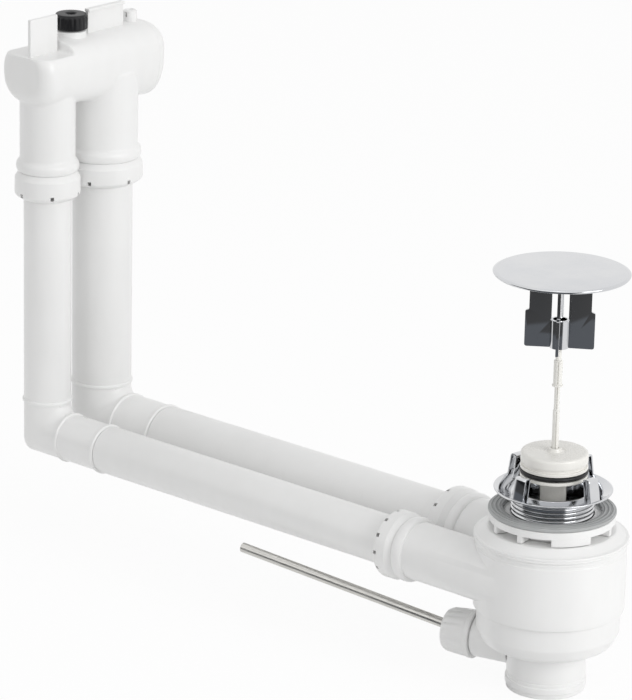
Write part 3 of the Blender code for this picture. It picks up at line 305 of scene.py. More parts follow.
@dataclass(frozen=True)
class DrawnSteel(Coating):
    """Drawn stainless bar, brushed along its length."""

    streak: Colour
    yaw: float = 14.0
    tilt: float = 9.2

    def dress(self, graph: Graph, shader: bpy.types.Node) -> None:
        """Fill the shader's sockets."""
        along = {
            "Vector": graph.place(turn=(0.0, 0.0, -math.radians(self.yaw))),
            "Rotation": (0.0, -math.radians(self.tilt), 0.0),
            "Scale": (0.03, 1.0, 1.0),
        }
        streaks = graph.noise(graph.add("Mapping", None, along), 2600.0, 3.0, 0.65)
        patches = graph.noise(graph.place(), 120.0, 2.0).between(0.3, 0.7)
        graph.fill(shader.inputs["Base Color"], graph.blend(streaks.between(0.3, 0.7), self.colour, self.streak))
        graph.fill(shader.inputs["Roughness"], self.roughness + (streaks - 0.5) * 0.2 + patches * 0.06)
        shader.inputs["Metallic"].default_value = 1.0
        graph.fill(shader.inputs["Normal"], graph.bump(streaks, 0.15, 0.03))


@dataclass(frozen=True)
class Rubber(Coating):
    """Soft rubber with a dull bloom on its skin."""

    bloom: Colour
    grain: float = 0.3

    def dress(self, graph: Graph, shader: bpy.types.Node) -> None:
        """Fill the shader's sockets."""
        spot = graph.place()
        patches = graph.noise(spot, 70.0, 4.0, 0.6).between(0.4, 0.75)
        grain = graph.noise(spot, 1800.0, 2.0)
        graph.fill(shader.inputs["Base Color"], graph.blend(patches, self.colour, self.bloom))
        graph.fill(shader.inputs["Roughness"], self.roughness + patches * 0.12 + (grain - 0.5) * 0.08)
        shader.inputs["Specular IOR Level"].default_value = 0.35
        graph.fill(shader.inputs["Normal"], graph.bump(grain, self.grain, 0.06))


COATINGS: dict[Finish, Coating] = {
    Finish.WHITE: MouldedPlastic("white_polypropylene", (0.87, 0.87, 0.865), 0.32, (0.845, 0.845, 0.838)),
    Finish.CREAM: MouldedPlastic("cream_acetal", (0.86, 0.85, 0.815), 0.27, (0.83, 0.815, 0.77), 0.6, 0.03),
    Finish.CHROME: PlatedMetal("chrome_plate", (0.67, 0.675, 0.685), 0.05, (0.62, 0.63, 0.65)),
    Finish.STEEL: DrawnSteel("drawn_stainless", (0.50, 0.49, 0.47), 0.28, (0.66, 0.65, 0.62)),
    Finish.GREY_RUBBER: Rubber("grey_gasket_rubber", (0.41, 0.42, 0.42), 0.5, (0.47, 0.48, 0.48)),
    Finish.BLACK_RUBBER: Rubber("black_seal_rubber", (0.012, 0.012, 0.013), 0.42, (0.03, 0.03, 0.03)),
    Finish.BLACK_PLASTIC: MouldedPlastic(
        "black_polyamide", (0.008, 0.008, 0.009), 0.38, (0.016, 0.016, 0.018), 0.28, 0.2
    ),
}


class Bench:
    """Modelling by hand: every method works through Blender's operators, and takes millimetres."""

    @staticmethod
    def clear() -> None:
        """Leave edit mode and deselect everything."""
        if bpy.context.object and bpy.context.object.mode != "OBJECT":
            bpy.ops.object.mode_set(mode="OBJECT")
        bpy.ops.object.select_all(action="DESELECT")

    @staticmethod
    def pick(*pieces: Piece) -> None:
        """Select pieces, the first of them as the active one."""
        Bench.clear()
        for piece in pieces:
            piece.select_set(True)
        bpy.context.view_layer.objects.active = pieces[0]

    @staticmethod
    def edit() -> None:
        """Go into edit mode with all of the active piece selected."""
        bpy.ops.object.mode_set(mode="EDIT")
        bpy.ops.mesh.select_all(action="SELECT")

    @staticmethod
    def choose(piece: Piece, test: Callable[[Vector], bool]) -> bool:
        """In edit mode, select the vertices whose place passes a test.

        Args:
            piece: The piece in edit mode.
            test: Says whether a place, in millimetres, is chosen.

        Returns:
            Whether any vertex was selected.
        """
        bpy.ops.mesh.select_mode(type="VERT")
        bpy.ops.mesh.select_all(action="DESELECT")
        shape = bmesh.from_edit_mesh(piece.data)
        chosen = [point for point in shape.verts if test(point.co / MM)]
        for point in chosen:
            point.select = True
        shape.select_flush(True)
        bmesh.update_edit_mesh(piece.data)
        return bool(chosen)

    @staticmethod
    def stretch(share: Point, centre: Point) -> None:
        """Resize what is selected about a centre in millimetres."""
        bpy.ops.transform.resize(value=share, center_override=Vector(centre) * MM)

    @staticmethod
    def extrude(move: Point) -> None:
        """Extrude what is selected by a move in millimetres."""
        bpy.ops.mesh.extrude_region_move(TRANSFORM_OT_translate={"value": Vector(move) * MM})

    @staticmethod
    def outline(points: Sequence[Point], steps: int) -> list[Point]:
        """Round the corners of an outline that carry a radius.

        Args:
            points: Corners as (across, up) or (across, up, radius of the corner).
            steps: How many edges a rounded corner has.

        Returns:
            The outline as (across, up) points.
        """
        made: list[Point] = []
        for index, point in enumerate(points):
            here = Vector(point[:2])
            if len(point) < 3 or index in (0, len(points) - 1):
                made.append(tuple(here))
                continue
            back = Vector(points[index - 1][:2]) - here
            ahead = Vector(points[index + 1][:2]) - here
            reach = min(point[2] / math.tan(back.angle(ahead) / 2), back.length * 0.49, ahead.length * 0.49)
            start = here + back.normalized() * reach
            end = here + ahead.normalized() * reach
            for share in (step / steps for step in range(steps + 1)):
                made.append(tuple(start.lerp(here, share).lerp(here.lerp(end, share), share)))
        return made

    @staticmethod
    def draw(points: Sequence[Point], closed: bool) -> Piece:
        """Draw an outline in the XZ plane by extruding a vertex, and stay in edit mode.

        Args:
            points: The outline as (x, z) points.
            closed: Whether the last point is joined to the first.

        Returns:
            The piece.
        """
        Bench.clear()
        bpy.ops.mesh.primitive_plane_add(size=MM)
        piece = bpy.context.object
        Bench.edit()
        bpy.ops.mesh.select_mode(type="VERT")
        bpy.ops.mesh.select_all(action="SELECT")
        bpy.ops.mesh.merge(type="CENTER")
        bpy.ops.transform.translate(value=(points[0][0] * MM, 0.0, points[0][1] * MM))
        for here, there in zip(points, points[1:]):
            Bench.extrude((there[0] - here[0], 0.0, there[1] - here[1]))
        if closed:
            ends = [Vector((x, 0.0, z)) for x, z in (points[0], points[-1])]
            Bench.choose(piece, lambda spot: any((spot - end).length < NEAR_ZERO for end in ends))
            bpy.ops.mesh.edge_face_add()
        bpy.ops.mesh.select_all(action="SELECT")
        return piece

    @staticmethod
    def tidy() -> None:
        """In edit mode, merge doubled points, turn the faces outwards and go back to object mode."""
        bpy.ops.mesh.select_all(action="SELECT")
        bpy.ops.mesh.remove_doubles(threshold=NEAR_ZERO * MM)
        bpy.ops.mesh.normals_make_consistent(inside=False)
        bpy.ops.object.mode_set(mode="OBJECT")

    @staticmethod
    def turn(points: Sequence[Point], sides: int = ROUND, steps: int = 3) -> Piece:
        """Turn an outline about +Z into a closed piece.

        Args:
            points: Corners as (radius, height) or (radius, height, radius of the corner).
            sides: How many sides the piece has.
            steps: How many edges a rounded corner has.

        Returns:
            The turned piece.
        """
        line = Bench.outline(points, steps)
        piece = Bench.draw(line, line[0][0] > 0.0 or line[-1][0] > 0.0)
        bpy.ops.mesh.spin(steps=sides, angle=math.tau, center=(0, 0, 0), axis=(0, 0, 1), use_auto_merge=True)
        Bench.tidy()
        return piece

    @staticmethod
    def slab(points: Sequence[Point], thickness: float, steps: int = 3) -> Piece:
        """Extrude an outline in the XZ plane to both sides of it.

        Args:
            points: Corners as (x, z) or (x, z, radius of the corner).
            thickness: The whole thickness along Y.
            steps: How many edges a rounded corner has.

        Returns:
            The closed slab.
        """
        piece = Bench.draw(Bench.outline(points, steps), True)
        bpy.ops.mesh.edge_face_add()
        bpy.ops.transform.translate(value=(0.0, -thickness / 2 * MM, 0.0))
        Bench.extrude((0.0, thickness, 0.0))
        Bench.tidy()
        return piece

    @staticmethod
    def block(low: Point, high: Point) -> Piece:
        """Return a box between two corners, from a cube that is sized in edit mode."""
        Bench.clear()
        bpy.ops.mesh.primitive_cube_add(size=MM)
        piece = bpy.context.object
        Bench.edit()
        Bench.stretch([b - a for a, b in zip(low, high)], (0.0, 0.0, 0.0))
        bpy.ops.transform.translate(value=[(a + b) / 2 * MM for a, b in zip(low, high)])
        bpy.ops.object.mode_set(mode="OBJECT")
        return piece

    @staticmethod
    def put(piece: Piece, place: Point = (0.0, 0.0, 0.0), aim: Point | None = None, spin: float = 0.0) -> Piece:
        """Turn a piece about +Z, aim its +Z somewhere, move it, and keep all of that in its mesh.

        Args:
            piece: The piece.
            place: Where its origin goes.
            aim: The direction that its +Z takes.
            spin: The turn about its own +Z before that, in degrees.

        Returns:
            The piece.
        """
        Bench.pick(piece)
        turned = Matrix.Rotation(math.radians(spin), 4, "Z")
        if aim is not None:
            turned = Vector(aim).to_track_quat("Z", "Y").to_matrix().to_4x4() @ turned
        piece.matrix_world = Matrix.Translation(Vector(place) * MM) @ turned
        bpy.ops.object.transform_apply(location=True, rotation=True, scale=True)
        return piece

    @staticmethod
    def spread(piece: Piece, spins: Sequence[float]) -> list[Piece]:
        """Copy a piece, each copy with its own mesh, and turn them all about +Z.

        Args:
            piece: The piece, which becomes the first of them.
            spins: The turn of each in degrees.

        Returns:
            The pieces.
        """
        made = [piece]
        for _ in spins[1:]:
            Bench.pick(piece)
            bpy.ops.object.duplicate(linked=False)
            made.append(bpy.context.object)
        return [Bench.put(each, spin=spin) for each, spin in zip(made, spins)]

    @staticmethod
    def modify(piece: Piece, kind: str, **settings: Any) -> None:
        """Apply a modifier to a piece.

        Args:
            piece: The piece.
            kind: The modifier's type.
            settings: The modifier's settings.
        """
        Bench.pick(piece)
        bpy.ops.object.modifier_add(type=kind)
        step = piece.modifiers[-1]
        for key, value in settings.items():
            setattr(step, key, value)
        bpy.ops.object.modifier_apply(modifier=step.name)

    @staticmethod
    def cut(piece: Piece, other: Piece, operation: str = "DIFFERENCE") -> None:
        """Cut, join or intersect a piece with another, which is used up."""
        Bench.modify(piece, "BOOLEAN", operation=operation, solver="EXACT", object=other)
        Bench.pick(other)
        bpy.ops.object.delete()

    @staticmethod
    def join(piece: Piece, others: Iterable[Piece]) -> None:
        """Take other pieces into one piece."""
        Bench.pick(piece, *others)
        bpy.ops.object.join()

    @staticmethod
    def bevel(piece: Piece, width: float, segments: int = 2, angle: float = 40.0) -> None:
        """Round the edges of a piece that are sharper than an angle in degrees."""
        limit = {"limit_method": "ANGLE", "angle_limit": math.radians(angle)}
        Bench.modify(piece, "BEVEL", width=width * MM, segments=segments, harden_normals=False, **limit)

    @staticmethod
    def soften(piece: Piece, voxel: float, rounds: int) -> None:
        """Remesh a solid finely and smooth it, which rounds its edges and corners alike."""
        Bench.modify(piece, "REMESH", mode="VOXEL", voxel_size=voxel * MM, use_smooth_shade=True)
        Bench.modify(piece, "SMOOTH", factor=0.5, iterations=rounds)

    @staticmethod
    def flute(piece: Piece, count: int, depth: float, low: Point, high: Point, sides: int) -> None:
        """Press flutes into the wall of a piece turned about +Z, by drawing columns of points inwards.

        Args:
            piece: The turned piece, still on +Z.
            count: How many flutes it has.
            depth: How deep they are.
            low: The least (radius, height) that they reach.
            high: The greatest (radius, height) that they reach.
            sides: How many sides the piece has.
        """
        Bench.pick(piece)
        bpy.ops.object.mode_set(mode="EDIT")
        columns = sides // count
        for offset in range(columns):
            sink = depth * (0.5 + 0.5 * math.cos(math.tau * offset / columns)) ** 1.5
            if sink < 0.02 * depth:
                continue

            def in_flute(spot: Vector, offset: int = offset) -> bool:
                """Say whether a point is in this column of each flute."""
                radius = math.hypot(spot.x, spot.y)
                column = round(math.atan2(spot.y, spot.x) / math.tau * sides)
                inside = low[0] < radius < high[0] and low[1] < spot.z < high[1]
                return inside and column % columns == offset

            if Bench.choose(piece, in_flute):
                share = 1.0 - sink / ((low[0] + high[0]) / 2)
                Bench.stretch((share, share, 1.0), (0.0, 0.0, 0.0))
        bpy.ops.object.mode_set(mode="OBJECT")


@dataclass
class Workshop:
    """Dresses finished pieces and keeps count of them."""

    palette: dict[Finish, bpy.types.Material] = field(default_factory=dict)
    made: int = 0

    def paint(self, finish: Finish) -> bpy.types.Material:
        """Return the material of a finish, built at its first use."""
        if finish not in self.palette:
            self.palette[finish] = COATINGS[finish].build()
        return self.palette[finish]

    def dress(self, piece: Piece, name: str, finish: Finish, node: str, angle: float = 32.0) -> None:
        """Name, smooth and paint a finished piece, and let it stand for its solid.

        Args:
            piece: The finished piece, with its place in its mesh.
            name: Its name in the model.
            finish: What it is made of.
            node: The solid that it stands for, which gives its body.
            angle: Edges sharper than this stay sharp, in degrees.
        """
        piece.name = piece.data.name = name
        Bench.pick(piece)
        bpy.ops.object.shade_smooth_by_angle(angle=math.radians(angle))
        piece.data.materials.clear()
        piece.data.materials.append(self.paint(finish))
        Bench.clear()
        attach(piece, frame["nodes"][node]["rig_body"])
        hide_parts(node)
        self.made += 1
        LOG.info("%s: %d faces, %s, for %s", name, len(piece.data.polygons), finish.value, node)

    def keep(self, finish: Finish, *nodes: str) -> None:
        """Give solids whose shapes are right a better material."""
        for node in nodes:
            solid = frame["nodes"][node]
            for place in solid.material_slots:
                place.material = self.paint(finish)
            LOG.info("%s stays, in %s", node, finish.value)


@dataclass
class Cover:
    """The bright cover with the bladed cage and the stem under it."""

    disc_radius: float = 34.4
    top: float = 124.0
    thickness: float = 1.8
    sheet: float = 1.5
    turn: float = 34.0
    blades: int = 4
    blade_inner: float = 4.3
    upper_radius: float = 15.5
    lower_radius: float = 17.4
    step_height: float = 102.8
    bottom: float = 84.2
    hub_radius: float = 4.95
    hub_wall: float = 1.4
    hub_top: float = 98.9
    stem_radius: float = 1.5
    stem_bottom: float = 90.3

    def build(self, shop: Workshop) -> None:
        """Model and dress the cover's pieces."""
        self.build_disc(shop)
        self.build_cage(shop)
        radius, low, high = self.stem_radius, self.stem_bottom, self.top - self.thickness - 0.3
        stem = Bench.turn([(0.0, low), (radius, low, 0.4), (radius, high), (0.0, high)], 32)
        shop.dress(stem, "stem_rod", Finish.CHROME, "cover_stem")

    def build_disc(self, shop: Workshop) -> None:
        """Model the disc with its rolled edge."""
        radius, top, under = self.disc_radius, self.top, self.top - self.thickness
        disc = Bench.turn([
            (0.0, under), (radius - 3.0, under, 0.6), (radius - 2.4, under + 0.25, 0.6), (radius - 0.5, under, 0.5),
            (radius, under + 0.9, 0.6), (radius - 0.1, top - 0.5, 0.5), (radius - 1.3, top, 1.5), (0.0, top),
        ], 160, 4)
        shop.dress(disc, "cover_plate", Finish.CHROME, "cover_disc")

    def build_cage(self, shop: Workshop) -> None:
        """Model one blade, copy it round the hub and join the lot."""
        hub, bore, middle = self.hub_radius, self.hub_radius - self.hub_wall, self.hub_radius - self.hub_wall / 2
        low, step, high = self.bottom, self.step_height, self.top - self.thickness - 0.3
        cage = Bench.turn([(bore, low), (hub, low, 0.4), (hub, self.hub_top, 0.4), (bore, self.hub_top, 0.2)], 64)
        blade = Bench.slab([
            (middle, low + 0.1), (self.lower_radius, low, 1.2), (self.lower_radius, step, 0.8),
            (self.upper_radius, step + 0.6, 0.8), (self.upper_radius, high), (self.blade_inner, high),
            (self.blade_inner, self.hub_top - 0.6, 0.5), (middle, self.hub_top - 0.6),
        ], self.sheet)
        Bench.bevel(blade, 0.3, 3)
        spins = [self.turn + 360.0 / self.blades * number for number in range(self.blades)]
        Bench.join(cage, Bench.spread(blade, spins))
        shop.dress(cage, "guide_cage", Finish.CHROME, "cover_cage")


@dataclass
class Plunger:
    """The piston with its O-ring, the column under it and the stepped pin that carries the cover."""

    piston_radius: float = 17.1
    piston_top: float = 29.8
    groove_radius: float = 14.9
    pin_socket: float = 2.05
    pin_bottom: float = 21.9
    ring_radius: float = 17.45
    ring_section: float = 1.15
    ring_height: float = 19.75
    foot: float = 16.6
    column_radius: float = 6.5
    column_length: float = 41.6
    rod_hole: float = 4.3
    slot_turn: float = -49.0

    def build(self, shop: Workshop) -> None:
        """Model and dress the plunger's pieces."""
        self.build_piston(shop)
        self.build_ring(shop)
        self.build_column(shop)
        self.build_pin(shop)
        shop.keep(Finish.CREAM, "plunger_rod")

    def build_piston(self, shop: Workshop) -> None:
        """Model the piston with its groove, its flange and the boss round the pin."""
        radius, top, groove = self.piston_radius, self.piston_top, self.groove_radius
        piston = Bench.turn([
            (self.rod_hole, self.foot), (radius, self.foot, 0.3), (radius, 18.3, 0.2), (groove, 18.3),
            (groove, 21.2), (radius, 21.2, 0.3), (radius, 22.8, 0.4), (radius - 1.1, 22.8, 0.2),
            (radius - 1.1, 24.7, 0.3), (radius, 24.7, 0.4), (radius, top, 1.6), (6.2, top, 0.6),
            (5.4, top - 0.35, 0.5), (3.9, top - 0.1, 0.4), (3.2, top + 1.6, 0.4), (self.pin_socket, top + 1.6, 0.2),
            (self.pin_socket, self.pin_bottom), (self.rod_hole, self.pin_bottom),
        ], ROUND, 4)
        shop.dress(piston, "piston_body", Finish.CREAM, "piston")

    def build_ring(self, shop: Workshop) -> None:
        """Model the O-ring, pressed flat where it lies in its groove."""
        middle, half, sides = self.ring_radius - self.ring_section, self.ring_section, 20
        points = []
        for angle in (math.tau * step / sides for step in range(sides)):
            points.append((middle + half * max(math.cos(angle), -0.85), self.ring_height + half * math.sin(angle)))
        shop.dress(Bench.turn(points), "o_ring", Finish.BLACK_RUBBER, "piston_o_ring", 60.0)

    def build_column(self, shop: Workshop) -> None:
        """Model the column sleeve."""
        hole, radius, top = self.rod_hole, self.column_radius, self.foot - 0.3
        low = top - self.column_length
        column = Bench.turn([
            (hole, low), (radius, low, 0.5), (radius, top - 0.4, 0.3), (radius - 0.4, top), (hole, top)
        ], 64)
        shop.dress(column, "column_tube", Finish.CREAM, "column_sleeve")

    def build_pin(self, shop: Workshop) -> None:
        """Model the stepped pin with the long groove in each of its steps."""
        pin = Bench.turn([
            (0.0, self.pin_bottom), (1.75, self.pin_bottom), (1.75, 51.2, 0.25), (1.4, 51.5, 0.2), (1.4, 63.9, 0.3),
            (2.8, 63.9, 0.25), (2.8, 64.7, 0.25), (2.25, 64.9, 0.15), (2.25, 77.5, 0.5), (1.5, 77.5, 0.15),
            (1.5, 90.0, 0.5), (0.0, 90.0),
        ], 40)
        for low, high, radius in ((23.0, 51.0, 1.75), (52.0, 63.6, 1.4), (65.4, 77.0, 2.25)):
            slot = Bench.block((radius - 0.5, -0.25, low), (radius + 1.0, 0.25, high))
            Bench.cut(pin, Bench.put(slot, spin=self.slot_turn))
        shop.dress(pin, "lift_pin", Finish.CREAM, "cover_pin")


@dataclass
class Strainer:
    """The bright flange with its turned collar, its folded clips, and what clamps the basin."""

    rim_radius: float = 30.2
    rim_top: float = 10.6
    dish_slope: float = 0.41
    bore: float = 19.6
    collar: float = 20.6
    collar_end: float = -10.2
    ridges: int = 4
    ridge_pitch: float = 2.1
    clip_top: float = 21.8
    clip_radius: float = 29.2
    clip_width: float = 6.6
    clip_lean: float = 2.0
    clip_skew: float = 6.0
    sheet: float = 0.9
    leaf_gap: float = 2.6
    gasket_radius: float = 32.4
    gasket_bore: float = 25.0
    crown_radius: float = 32.0
    posts: int = 11
    post_width: float = 3.0
    first_post: float = -82.5
    fillers: int = 12

    def build(self, shop: Workshop) -> None:
        """Model and dress the strainer's pieces."""
        self.build_flange(shop)
        self.build_clips(shop)
        self.build_gasket(shop)
        self.build_crown(shop)
        seat = Bench.turn([
            (18.0, 9.2, 0.2), (19.0, 9.2, 0.5), (19.0, -13.3), (20.9, -13.3), (20.9, -15.2, 0.3), (17.7, -15.2),
            (17.7, 7.9, 0.3),
        ])
        shop.dress(seat, "seat_ring", Finish.CHROME, "seat_tube")

    def build_flange(self, shop: Workshop) -> None:
        """Model the dished flange and the collar with its turned ridges."""
        rim, top, collar, bore = self.rim_radius, self.rim_top, self.collar, self.bore
        ridges: list[Point] = []
        for height in (5.2 - self.ridge_pitch * ridge for ridge in range(self.ridges)):
            ridges += [(collar, height, 0.5), (collar + 0.8, height - 0.75, 0.7), (collar, height - 1.5, 0.5)]
        flange = Bench.turn([
            (bore, 5.4, 0.4), (bore + 0.9, 6.5, 0.5), (bore + 3.0, 7.5, 1.5), (rim - 1.6, top - 0.5, 0.8),
            (rim - 0.7, top, 0.4), (rim, top - 0.25, 0.3), (rim - 0.1, top - 0.8, 0.3), (rim - 1.3, top - 1.2, 0.6),
            (collar + 3.0, 7.0, 1.5), (collar + 0.6, 6.2, 0.5), (collar, 5.8, 0.2), *ridges,
            (collar, self.collar_end, 0.2), (bore, self.collar_end),
        ], 128)
        shop.dress(flange, "strainer_dish", Finish.CHROME, "strainer_flange")

    def foot(self, radius: float) -> float:
        """Return the height just above the dish at a radius."""
        return self.rim_top + 0.3 - self.dish_slope * (self.rim_radius - radius)

    def build_clips(self, shop: Workshop) -> None:
        """Model one folded clip and copy it round the flange."""
        outer, inner = self.clip_radius, self.clip_radius - 2 * self.sheet - self.leaf_gap
        lean, sheet, top = self.clip_lean, self.sheet, self.clip_top
        clip = Bench.slab([
            (outer, self.foot(outer)), (outer - lean, top, 1.5), (inner - lean, top, 1.5), (inner, self.foot(inner)),
            (inner + sheet, self.foot(inner + sheet)), (inner - lean + sheet, top - sheet, 0.7),
            (outer - lean - sheet, top - sheet, 0.7), (outer - sheet, self.foot(outer - sheet)),
        ], self.clip_width, 5)
        Bench.bevel(clip, 0.18, 2, 60.0)
        clips = Bench.spread(clip, [-self.clip_skew, 90.0, 180.0 - self.clip_skew, 270.0])
        for number, piece in enumerate(clips, 1):
            shop.dress(piece, f"folded_clip_{number}", Finish.CHROME, f"spring_clip_{number}")

    def build_gasket(self, shop: Workshop) -> None:
        """Model the gasket with its raised sealing rings."""
        edge, bore = self.gasket_radius, self.gasket_bore
        rings: list[Point] = []
        for middle in (edge - 1.6 - 2.1 * ring for ring in range(3)):
            rings += [(middle + 0.6, -0.35, 0.15), (middle + 0.2, 0.0, 0.2)]
            rings += [(middle - 0.2, 0.0, 0.2), (middle - 0.6, -0.35, 0.15)]
        gasket = Bench.turn([
            (bore, -2.2), (edge - 0.3, -2.2, 0.3), (edge, -1.8, 0.3), (edge, -0.35, 0.5), *rings, (bore, -0.35, 0.3),
            (bore, -2.0),
        ])
        shop.dress(gasket, "basin_washer", Finish.GREY_RUBBER, "basin_gasket")

    def build_crown(self, shop: Workshop) -> None:
        """Model the clamping nut with the open pockets between its posts, one of them filled."""
        rim, bore, low = self.crown_radius, self.collar + 0.8, self.collar_end
        sleeve = bore + 2.6
        crown = Bench.turn([
            (bore, low), (sleeve, low), (sleeve, -6.4), (rim, -6.4, 0.3), (rim, -2.5, 0.4), (bore, -2.5)
        ])
        post, filler = (Bench.slab([
            (sleeve - 1.3, low), (rim - 0.2, low, 0.4), (rim - 0.2, -4.4), (sleeve - 1.3, -4.4)
        ], self.post_width) for _ in range(2))
        Bench.bevel(post, 0.25)
        pitch = 360.0 / self.posts
        posts = Bench.spread(post, [self.first_post + pitch * number for number in range(self.posts)])
        shares = [1.0 + step / self.fillers for step in range(1, self.fillers)]
        posts += Bench.spread(filler, [self.first_post + pitch * share for share in shares])
        Bench.join(crown, posts)
        shop.dress(crown, "clamp_nut", Finish.WHITE, "crown_nut")


@dataclass
class Coupling:
    """A socket's outline, its seal and the union nut that closes it, sized from the run's pipe."""

    run: Run
    bead: float = 2.0
    bead_width: float = 6.3
    bead_steps: int = 12
    thread_length: float = 5.0

    def __post_init__(self) -> None:
        """Work out the bore, and the outer radii of the socket, of its thread and of the nut."""
        self.bore = self.run.radius + 0.3
        self.socket_radius = self.run.radius * 1.163
        self.thread_radius = self.socket_radius - 0.6
        self.nut_radius = self.socket_radius + 2.8

    def socket(self, length: float) -> list[Point]:
        """Return a socket's solid outline, its shoulder at height 0 and its threaded end upwards.

        Args:
            length: How far the socket reaches back.

        Returns:
            The outline.
        """
        half, bead = self.bead_width / 2, []
        for angle in (math.pi * (step / self.bead_steps - 0.5) for step in range(self.bead_steps + 1)):
            bead.append((self.socket_radius + self.bead * math.cos(angle) ** 0.8, half * math.sin(angle) - half))
        thread = [(self.thread_radius, 0.0), (self.thread_radius, self.thread_length), (0.0, self.thread_length)]
        return [(0.0, -length), (self.socket_radius, -length), *bead, *thread]

    def nut(self, length: float, notches: int, turn: float) -> Piece:
        """Return a union nut on +Z with the notches for its spanner, its wide end at height 0.

        Args:
            length: How long it is.
            notches: How many notches it has.
            turn: The turn of the notches, in degrees.

        Returns:
            The nut.
        """
        inner, outer, bore, inside = self.thread_radius + 0.3, self.nut_radius, self.bore, self.thread_length + 3.0
        nut = Bench.turn([
            (inner, 0.05), (inner + 0.9, 0.05, 0.2), (outer - 0.15, 3.3, 0.5), (outer, length - 2.4, 1.9),
            (bore + 1.2, length, 1.4), (bore, length, 0.2), (bore, inside), (inner, inside),
        ], ROUND, 6)
        for notch in range(notches):
            cutter = Bench.block((bore - 1.0, -1.0, length - 4.3), (outer + 1.0, 1.0, length - 2.0))
            Bench.cut(nut, Bench.put(cutter, spin=turn + 360.0 / notches * notch))
        return nut

    def seal(self) -> Piece:
        """Return the rubber ring on +Z that the nut presses against the socket's end."""
        low, high = self.thread_length + 0.1, self.thread_length + 2.9
        inner, outer = self.run.radius + 0.1, self.thread_radius + 0.2
        return Bench.turn([(inner, low), (outer, low, 0.5), (outer, high, 0.5), (inner, high)])


